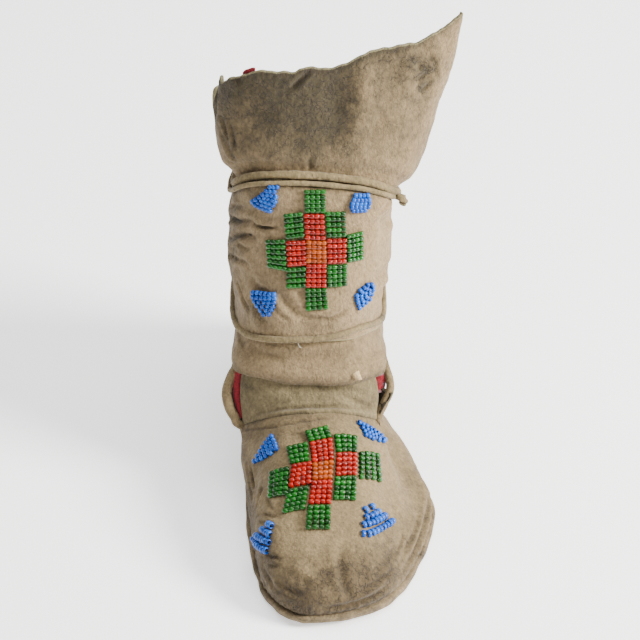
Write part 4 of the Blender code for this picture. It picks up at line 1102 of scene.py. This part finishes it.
# Blue corners: the strings of each, from its first bead to its last, and how many beads
CORNERS = {
    "panel_upper_medial": ((-20.8, 116.0, -14.5, 122.7, 6), (-19.7, 115.2, -13.3, 122.8, 7),
                           (-18.3, 114.8, -12.0, 123.0, 7), (-17.0, 114.7, -12.5, 119.9, 5),
                           (-15.7, 114.5, -12.7, 118.2, 4), (-14.6, 114.5, -13.4, 116.8, 2)),
    "panel_upper_lateral": ((16.5, 120.5, 20.9, 119.9, 4), (15.9, 119.2, 21.3, 118.5, 5),
                            (15.4, 118.0, 21.4, 117.3, 5), (15.2, 116.7, 21.0, 116.1, 5),
                            (15.6, 115.5, 19.8, 115.0, 4)),
    "panel_lower_medial": ((-20.9, 83.0, -13.3, 84.8, 6), (-20.9, 81.6, -13.2, 83.5, 6),
                           (-20.3, 80.2, -13.3, 82.1, 5), (-19.2, 78.9, -13.6, 80.7, 4),
                           (-18.0, 77.7, -14.2, 79.2, 3), (-16.9, 76.6, -15.2, 77.3, 2)),
    "panel_lower_lateral": ((18.2, 84.6, 20.9, 85.5, 3), (16.9, 83.2, 22.3, 84.8, 4), (17.0, 82.1, 22.8, 83.7, 5),
                            (17.2, 80.9, 22.8, 82.5, 5), (17.5, 79.7, 22.3, 81.2, 4), (17.8, 78.5, 21.5, 79.7, 4)),
    "vamp_ankle_medial": ((-20.4, -24.2, -14.2, -19.8, 7), (-19.2, -25.3, -13.5, -21.7, 6),
                          (-17.8, -26.2, -13.0, -23.4, 5), (-16.3, -26.5, -12.6, -24.9, 4),
                          (-14.4, -26.7, -12.4, -26.1, 2)),
    "vamp_ankle_lateral": ((18.1, -13.6, 27.6, -12.2, 8), (19.2, -15.1, 27.0, -13.9, 6),
                           (20.0, -16.3, 25.3, -15.5, 5), (20.4, -17.7, 23.0, -17.1, 3)),
    "vamp_toe_medial": ((-26.7, 0.494, -25.0, 0.500, 2), (-31.6, 0.434, -26.2, 0.452, 4),
                        (-38.5, 0.346, -26.6, 0.410, 6), (-46.0, 0.250, -28.3, 0.356, 8)),
    "vamp_toe_lateral": ((25.4, 0.560, 29.3, 0.550, 2), (25.0, 0.528, 32.4, 0.502, 4),
                         (23.4, 0.504, 35.8, 0.456, 7), (22.4, 0.466, 39.9, 0.394, 9)),
}


class Finder:
    """Finds the place on a sheet of points that has two of its coordinates, and the way out of the sheet there."""

    def __init__(self, points, pair):
        self.points = points.reshape(-1, 3)
        self.out = normals(points, False).reshape(-1, 3)
        self.pair = pair

    def __call__(self, a, b):
        far = (self.points[:, self.pair[0]] - a * MM) ** 2 + (self.points[:, self.pair[1]] - b * MM) ** 2
        k = int(np.argmin(far))
        point = self.points[k].copy()
        point[self.pair[0]] = a * MM
        point[self.pair[1]] = b * MM
        third = 3 - self.pair[0] - self.pair[1]
        out = self.out[k]
        point[third] -= ((point - self.points[k]) @ out) / out[third]
        return point, out


BEADED = np.radians(np.linspace(-80, 80, 420))[None]    # the part of each sheet that can carry beads


def finder(base, marks, pair):
    """A finder on a sheet that its marks have moved."""
    return Finder(base + normals(base, False) * marks.relief(base)[..., None] * 0.6, pair)


def panel_finder():
    """Places on the panel, by how far across and how high."""
    skin = shaft_point(*np.broadcast_arrays(BEADED, np.linspace(0.070, 0.126, 300)[:, None]))
    return finder(skin + normals(skin, False) * (GAP + PANEL_T), panel_marks, (0, 2))


def vamp_finder():
    """Places on the vamp, by how far across and how far along the foot."""
    sheet = upper_point(*np.broadcast_arrays(BEADED, np.linspace(0.12, 0.995, 360)[:, None]))
    return finder(sheet, upper_marks, (0, 1))


def on_vamp_steps(turn, step):
    """A place on the upper by degrees round the sole and share of the rise, and the way out there."""
    at, up = np.radians([turn - 0.5, turn, turn + 0.5])[None], np.array([step - 0.01, step, step + 0.01])[:, None]
    sheet = upper_point(*np.broadcast_arrays(at, up))
    return sheet[1, 1], normals(sheet, False)[1, 1]


def small_form(name, rows, sides, loop):
    """A small form along x, to be laid many times. Rows: place along x, radius, and how high its middle is."""
    around = 2 * math.pi * np.arange(sides) / sides
    verts = [(x, r * math.cos(t), r * math.sin(t) + up) for x, r, up in rows for t in around]
    faces = [q[::-1] for q in quads(len(rows), sides, True, loop)]
    if not loop:
        faces += [list(range(sides)), [len(verts) - sides + k for k in reversed(range(sides))]]
    mesh = bpy.data.meshes.new(name)
    mesh.from_pydata(verts, [], faces)
    return smooth_object(name, mesh)


def strung_tree():
    """Places one small form at each point, along the point's row and off its surface, each a little different."""
    tree = bpy.data.node_groups.new("strung_forms", "GeometryNodeTree")
    for name, kind in (("Places", "Geometry"), ("Form", "Object"), ("Size", "Vector"), ("Spread", "Float"),
                       ("Seed", "Int"), ("Finish", "Material")):
        tree.interface.new_socket(name, in_out="INPUT", socket_type="NodeSocket" + kind)
    tree.interface.new_socket("Strung", in_out="OUTPUT", socket_type="NodeSocketGeometry")
    given = tree.nodes.new("NodeGroupInput").outputs

    def add(kind, inputs, out=0, **settings):
        return node(tree, kind, inputs, **settings).outputs[out]

    row, out = (add("GeometryNodeInputNamedAttribute", {"Name": name}, data_type="FLOAT_VECTOR")
                for name in ("row", "out"))
    turned = add("FunctionNodeAxesToRotation", {0: row, 1: out}, primary_axis="X", secondary_axis="Z")
    wobble = add("FunctionNodeRandomValue", {0: (-WOBBLE,) * 3, 1: (WOBBLE,) * 3, "Seed": given["Seed"]},
                 data_type="FLOAT_VECTOR")
    slack = add("FunctionNodeEulerToRotation", {0: wobble})
    turned = add("FunctionNodeRotateRotation", {0: turned, 1: slack}, rotation_space="LOCAL")
    most = add("ShaderNodeMath", {0: 1.0, 1: given["Spread"]}, operation="ADD")
    least = add("ShaderNodeMath", {0: 1.0, 1: given["Spread"]}, operation="SUBTRACT")
    seed = add("ShaderNodeMath", {0: given["Seed"], 1: 1.0}, operation="ADD")
    change = add("FunctionNodeRandomValue", {0: least, 1: most, "Seed": seed}, data_type="FLOAT_VECTOR")
    size = add("ShaderNodeVectorMath", {0: given["Size"], 1: change}, operation="MULTIPLY")
    form = add("GeometryNodeObjectInfo", {"Object": given["Form"]}, "Geometry", transform_space="ORIGINAL")
    placed = add("GeometryNodeInstanceOnPoints",
                 {"Points": given["Places"], "Instance": form, "Rotation": turned, "Scale": size})
    tone = add("FunctionNodeRandomValue", {"Seed": given["Seed"]}, 1, data_type="FLOAT")
    marked = add("GeometryNodeStoreNamedAttribute", {"Geometry": placed, "Name": "tone", "Value": tone},
                 data_type="FLOAT", domain="INSTANCE")
    whole = add("GeometryNodeRealizeInstances", {0: marked})
    done = add("GeometryNodeSetMaterial", {"Geometry": whole, "Material": given["Finish"]})
    tree.links.new(done, tree.nodes.new("NodeGroupOutput").inputs[0])
    return tree


# A seed bead is a rounded ring with a hole, a stitch a short thread that is lower at its ends. Both are a unit long.
BEAD_R, HOLE = 0.46, 0.34
BEAD_RING = ((-0.32, 1.0), (0.0, 1.08), (0.32, 1.0), (0.49, 0.78), (0.50, HOLE / 0.5), (0.0, HOLE / 0.62),
             (-0.50, HOLE / 0.5), (-0.48, 0.74))
STITCH_ROWS = ((-0.5, 0.30, -0.5), (-0.36, 0.48, -0.2), (0.0, 0.5, 0.0), (0.36, 0.48, -0.2), (0.5, 0.30, -0.5))
WOBBLE = 0.16         # how far a form may turn from its row, radians
STRUNG = strung_tree()
BEAD = small_form("bead_form", [(x, r * BEAD_R, 0.0) for x, r in BEAD_RING], 10, True)
STITCH = small_form("stitch_form", STITCH_ROWS, 6, False)


def strung(name, places, form, size, material, seed, spread):
    """A plain mesh of one form laid at each place: a point, its row's direction and the way out of the surface.
    size is in millimetres."""
    mesh = bpy.data.meshes.new(name + "_places")
    mesh.from_pydata([tuple(p + SHIFT) for p, _, _ in places], [], [])
    for key, k in (("row", 1), ("out", 2)):
        layer = mesh.attributes.new(key, "FLOAT_VECTOR", "POINT")
        layer.data.foreach_set("vector", np.array([p[k] for p in places], np.float32).ravel())
    obj = shown(bpy.data.objects.new(name, mesh))
    mod = obj.modifiers.new("strung", "NODES")
    size = tuple(v * MM for v in size)
    values = {"Form": form, "Size": size, "Spread": spread, "Seed": seed, "Finish": material}
    mod.node_group = STRUNG
    for item in STRUNG.interface.items_tree:
        if item.in_out == "INPUT" and item.name in values:
            mod[item.identifier] = values[item.name]
    obj.update_tag()
    graph = bpy.context.evaluated_depsgraph_get()
    plain = bpy.data.meshes.new_from_object(obj.evaluated_get(graph))
    obj.modifiers.remove(mod)
    obj.data = plain
    return obj


BEAD_OFF = 0.00072        # middle of a bead above the hide
THREAD_OFF = 0.00062      # middle of a thread above the middle of its beads
ROW_BEADS = 4             # beads in a row of a cross
CROSS_BEAD = {"panel": (1.93, 1.94, 1.94), "vamp": (2.08, 2.16, 2.16)}
CORNER_BEAD = {"panel": (1.52, 2.00, 2.00), "vamp_ankle": (1.50, 2.05, 2.05), "vamp_toe": (1.66, 2.86, 2.86)}


def bead_row(find, a, b, count):
    """Beads side by side on one string from place a to place b."""
    places = [find(*(a + (b - a) * ((k + 0.5) / count))) for k in range(count)]
    points = np.array([p + out * BEAD_OFF for p, out in places])
    ways = np.gradient(points, axis=0)
    return [(p, way / np.linalg.norm(way), out) for p, way, (_, out) in zip(points, ways, places)]


def string_row(find, a, b, count):
    """Beads of one string of a blue corner, its first and last bead at a and b."""
    pad = (b - a) / (count - 1) / 2
    return bead_row(find, a - pad, b + pad, count)


def block_rows(find, blocks):
    """The bead rows of a cross by colour, and the thread between the middle beads of each row."""
    rows, threads = {"green": [], "red": [], "amber": []}, []
    for tint, count, *corners in blocks:
        left, right, low_right, low_left = np.array(corners)
        for k in range(count):
            s = (k + 0.5) / count
            a, b = left + (low_left - left) * s, right + (low_right - right) * s
            rows[tint] += bead_row(find, a, b, ROW_BEADS)
            point, out = find(*((a + b) / 2))
            way = find(*((a + b) / 2 + (low_left - left) * 0.3 / count))[0] - point
            threads.append((point + out * (BEAD_OFF + THREAD_OFF), way / np.linalg.norm(way), out))
    return rows, threads


def build_beads():
    """Both crosses, the threads that show on the vamp, and the blue corners."""
    on_panel, on_vamp = panel_finder(), vamp_finder()
    finishes = {"green": green_bead, "red": red_bead, "amber": amber_bead}
    for part, find, blocks in (("panel", on_panel, PANEL_BLOCKS), ("vamp", on_vamp, VAMP_BLOCKS)):
        rows, threads = block_rows(find, blocks)
        for k, (tint, row) in enumerate(rows.items()):
            obj = strung("beads_%s_%s" % (part, tint), row, BEAD, CROSS_BEAD[part], finishes[tint], 11 + k, 0.06)
            keep(obj, tint + "_bead", "beads_%s_cross" % part)
    keep(strung("threads_vamp", threads, STITCH, (1.2, 0.20, 0.20), thread, 21, 0.25), "thread")
    finders = {"panel": on_panel, "vamp_ankle": on_vamp, "vamp_toe": on_vamp_steps}
    for k, (name, strings) in enumerate(CORNERS.items()):
        part = next(part for part in finders if name.startswith(part))
        row = []
        for x0, y0, x1, y1, count in strings:
            row += string_row(finders[part], np.array((x0, y0)), np.array((x1, y1)), count)
        obj = strung("beads_%s_blue" % name, row, BEAD, CORNER_BEAD[part], blue_bead, 31 + k, 0.10)
        keep(obj, "blue_bead", "beads_" + name)


def tongue_side(side, low, high):
    """A line along one side of the tongue, between two shares of its length, and the shares."""
    share = np.linspace(low, high, STRIP_ALONG)[:, None]
    return tongue_point(np.full_like(share, side * math.radians(SEAM_END - 3)), share)[:, 0], share[:, 0]


def lining(name, base, wall, material, soil, moved, inner_rows, slot):
    """A strip of lining with the cut's own colour left out."""
    keep(shell(name, base, moved, wall, material, soil, closed=False, inner_rows=inner_rows, edge_pale=0.0), slot)


# Felt beside the tongue: side, start and end as shares of the tongue, how wide, and how far inwards it starts. Lining
# of the ears, painted dark as the shade inside them: side and how wide.
FELT = (("medial", -1, 0.065, 0.36, 2.9, 0.5), ("lateral", 1, 0.18, 0.38, 6.0, 2.4))
EAR_SHADED_LINING = {-1: 8.2, 1: 4.4}


def build_linings():
    """Red felt inside each ear beside the tongue, the ears' linings painted dark as the shade inside the ears, and
    the felt that shows above the rim.
    """
    across = np.linspace(0, 1, STRIP_ACROSS)[None, :, None]
    for name, side, low, high, wide, inwards in FELT:
        edge, _ = tongue_side(side, low, high)
        edge[:, 0] -= side * inwards * MM
        swell = (0.70 + 0.30 * np.sin(math.pi * np.linspace(0.0, 1.0, STRIP_ALONG)))[:, None, None]
        base = edge[:, None] + across * np.array([side * wide, 0.9, -0.3]) * MM * swell
        base = base + np.array([0, -0.8, 0.1]) * MM * np.sin(math.pi * across) * swell
        base = base[:, ::side]
        moved = uneven(base, (0.20, 3, 51))
        stain = np.clip(2.2 * smooth_noise(base, 2.8 * MM, 52) + 0.25, 0, 1) if side > 0 else 0 * moved
        lining("felt_" + name, base, 0.9 * MM, red_felt, stain, moved, 8, "red_felt")
        edge, share = tongue_side(side, 0.03, 0.30)
        taper = np.interp(share, (0.03, 0.10, 0.20, 0.30), (0.35, 0.9, 1.0, 0.60))[:, None, None]
        back = edge[:, None] + np.array([side * -2.5, 2.6, 0.0]) * MM
        back = back + across * np.array([side * EAR_SHADED_LINING[side], 1.6, 0.0]) * MM * taper
        still = np.zeros(back.shape[:-1])
        # The sheets behind the ears take a near-black hide on the medial side and a darkened hide on the lateral
        # side: painted shade inside the ears.
        hide = shade_hide if side < 0 else upper_hide
        lining("ear_back_" + name, back[:, ::side], 0.9 * MM, hide, still + 0.7, still, 6, "upper_hide")
    turn = np.radians(np.linspace(-56, -46, STRIP_ALONG))[None]
    high = (12.7 + 0.8 * np.sin(np.linspace(0.2, 2.9, STRIP_ALONG))[None]) * MM
    turn, z = np.broadcast_arrays(turn, rim_line(turn) - 12 * MM + np.linspace(0, 1, 12)[:, None] * high)
    lining("felt_rim", shaft_point(turn, z, -WALL - 0.4 * MM), 0.7 * MM, red_felt, 0 * z, 0 * z, 6, "red_felt")


def build_stitches():
    """Dark overcast stitches inside the ears."""
    places = []
    for side in (-1, 1):
        out = np.array([-side * 0.8, -0.6, 0.1])
        for d in np.linspace(70, 92, 9):
            turn = np.array(side * math.radians(d))
            top, low = collar(turn), upper_point(turn, np.array(0.93))
            place = top + (low - top) * 0.4 + np.array([-side * 1.2, -0.6, 0]) * MM
            places.append((place, (low - top) / np.linalg.norm(low - top), out / np.linalg.norm(out)))
    keep(strung("stitches_ears", places, STITCH, (2.2, 0.35, 0.35), dark_thread, 41, 0.2), "thread")


# How far the rolled edge of each ear sits inside the solid's: degrees round the sole, and millimetres
EAR_MEDIAL = ((62, 70, 74, 82, 90, 94, 98), (0, 0, 1.3, 1.6, 1.8, 0.6, 0))
EAR_SIDE = ((62, 66, 70, 74, 78, 80, 84, 88, 92, 98), (0.2, 0.9, 1.9, 2.9, 3.0, 2.5, 1.9, 1.2, 0.2, 0))


def build_rolls():
    """The rolled edge of each ear: a thick soft welt along the collar."""
    d = np.linspace(64, 94, 60)
    for name, side, thick, held in (("medial", -1, 4.2, EAR_MEDIAL), ("lateral", 1, 3.4, EAR_SIDE)):
        ear = read(COLLAR, d, 4) * (1 if side < 0 else EAR_LATERAL) * SHAFT_W
        path = collar(np.radians(side * d))
        path = path + np.stack([side * (ear - np.interp(d, *held) * MM), 0 * d, 0 * d], -1)
        path = path + np.array([0, -1.3, 0.7]) * MM
        thick = thick * MM * np.sin(np.linspace(0.55, 2.35, 60)) ** 0.6
        wave = 1 + 0.12 * smooth_noise(path, 4 * MM, 61)
        soil = 0.1 + 0.3 * smooth_noise(path, 4 * MM, 62)
        keep(tube("ear_roll_" + name, path, thick * wave, thick * 0.95, upper_hide, soil), "upper_hide")


# The chip's corners: degrees from the front, height, and how far out of the shaft. The thread end's points.
CHIP = ((19.4, 54.6, 1.4), (22.6, 52.6, 2.3), (29.0, 52.4, 2.3), (29.0, 55.2, 1.4))
CHIP_FACES = [(3, 2, 1, 0), (4, 5, 6, 7), (0, 1, 5, 4), (1, 2, 6, 5), (2, 3, 7, 6), (3, 0, 4, 7)]
THREAD_END = ((0, 0, 0), (0.2, -0.3, -0.9), (0.5, -0.2, -1.8), (1.1, 0.0, -2.3))


def build_chip():
    """A pale chip of hide left standing on the hem, and the thong's loose thread end."""
    out = np.array([0.25, -0.95, 0.15])
    verts = np.array([on_shaft(turn, z) + out * up * MM for turn, z, up in CHIP])
    verts = np.vstack([verts, verts + out * 0.5 * MM])
    zero = [0.0] * len(verts)
    obj = mesh_piece("hem_chip", verts, CHIP_FACES, chip_hide, soil=zero, edge=zero, inside=zero)
    keep(obj, "shaft_hide")
    path = on_shaft(-3.6, 68.2, 2.2 * MM) + np.array(THREAD_END) * MM
    keep(tube("thread_end", path, 0.45 * MM, 0.45 * MM, thread, 0.0, sides=6), "thread")


def aim_at(obj, place, aim):
    """Sets a lamp or a camera at a place, looking at another."""
    obj.location = place
    obj.rotation_euler = (Vector(aim) - Vector(place)).to_track_quat("-Z", "Y").to_euler()
    return shown(obj)


def light_from(name, place, aim, size, power, tint=(1, 1, 1)):
    """A round soft lamp: size across in metres, power in watts."""
    data = bpy.data.lights.new(name, "AREA")
    data.shape = "DISK"
    data.size = size
    data.energy = power
    data.color = tint
    aim_at(bpy.data.objects.new(name, data), place, aim)


EYE, LOOK = (-0.00635, -0.7913, 0.6937), (-0.00635, -0.0033, 0.078)    # the camera's place, and what it looks at


def build_studio():
    """A pale floor, a soft key from the right, an even sky, and the camera at the photo's angle."""
    mesh = bpy.data.meshes.new("floor")
    mesh.from_pydata([(-6, -6, 0), (6, -6, 0), (6, 6, 0), (-6, 6, 0)], [], [(0, 1, 2, 3)])
    mat = bpy.data.materials.new("floor_paper")
    mat.use_nodes = True
    tree = mat.node_tree
    shader = tree.nodes["Principled BSDF"]
    where = node(tree, "ShaderNodeTexCoord").outputs["Object"]
    tree.links.new(remap(tree, grain(tree, where, 0.3, 2.0), 0, 1, 0.90, 0.94), shader.inputs["Roughness"])
    shader.inputs["Base Color"].default_value = (0.94, 0.94, 0.945, 1)
    shader.inputs["Emission Color"].default_value = (1.0, 1.0, 1.0, 1)
    shader.inputs["Emission Strength"].default_value = 0.8
    shader.inputs["Specular IOR Level"].default_value = 0.0
    mesh.materials.append(mat)
    shown(bpy.data.objects.new("floor", mesh))
    world = bpy.data.worlds.new("studio")
    world.use_nodes = True
    back = world.node_tree.nodes["Background"]
    back.inputs["Color"].default_value = (1.0, 1.0, 1.0, 1)
    back.inputs["Strength"].default_value = 0.45
    bpy.context.scene.world = world
    light_from("key", (1.15, -0.30, 0.75), (0, 0, 0.08), 0.5, 68.0, (1.0, 0.975, 0.94))
    light_from("top", (0.1, 0.2, 1.5), (0, 0, 0), 1.2, 26.0)
    cam = bpy.data.cameras.new("camera")
    cam.lens = 152.03
    cam.sensor_width = 36
    bpy.context.scene.camera = aim_at(bpy.data.objects.new("camera", cam), EYE, LOOK)


build_sole()
build_upper()
build_tongue()
build_shaft()
build_panel()
build_thongs()
build_rolls()
build_linings()
build_beads()
build_stitches()
build_chip()
build_studio()
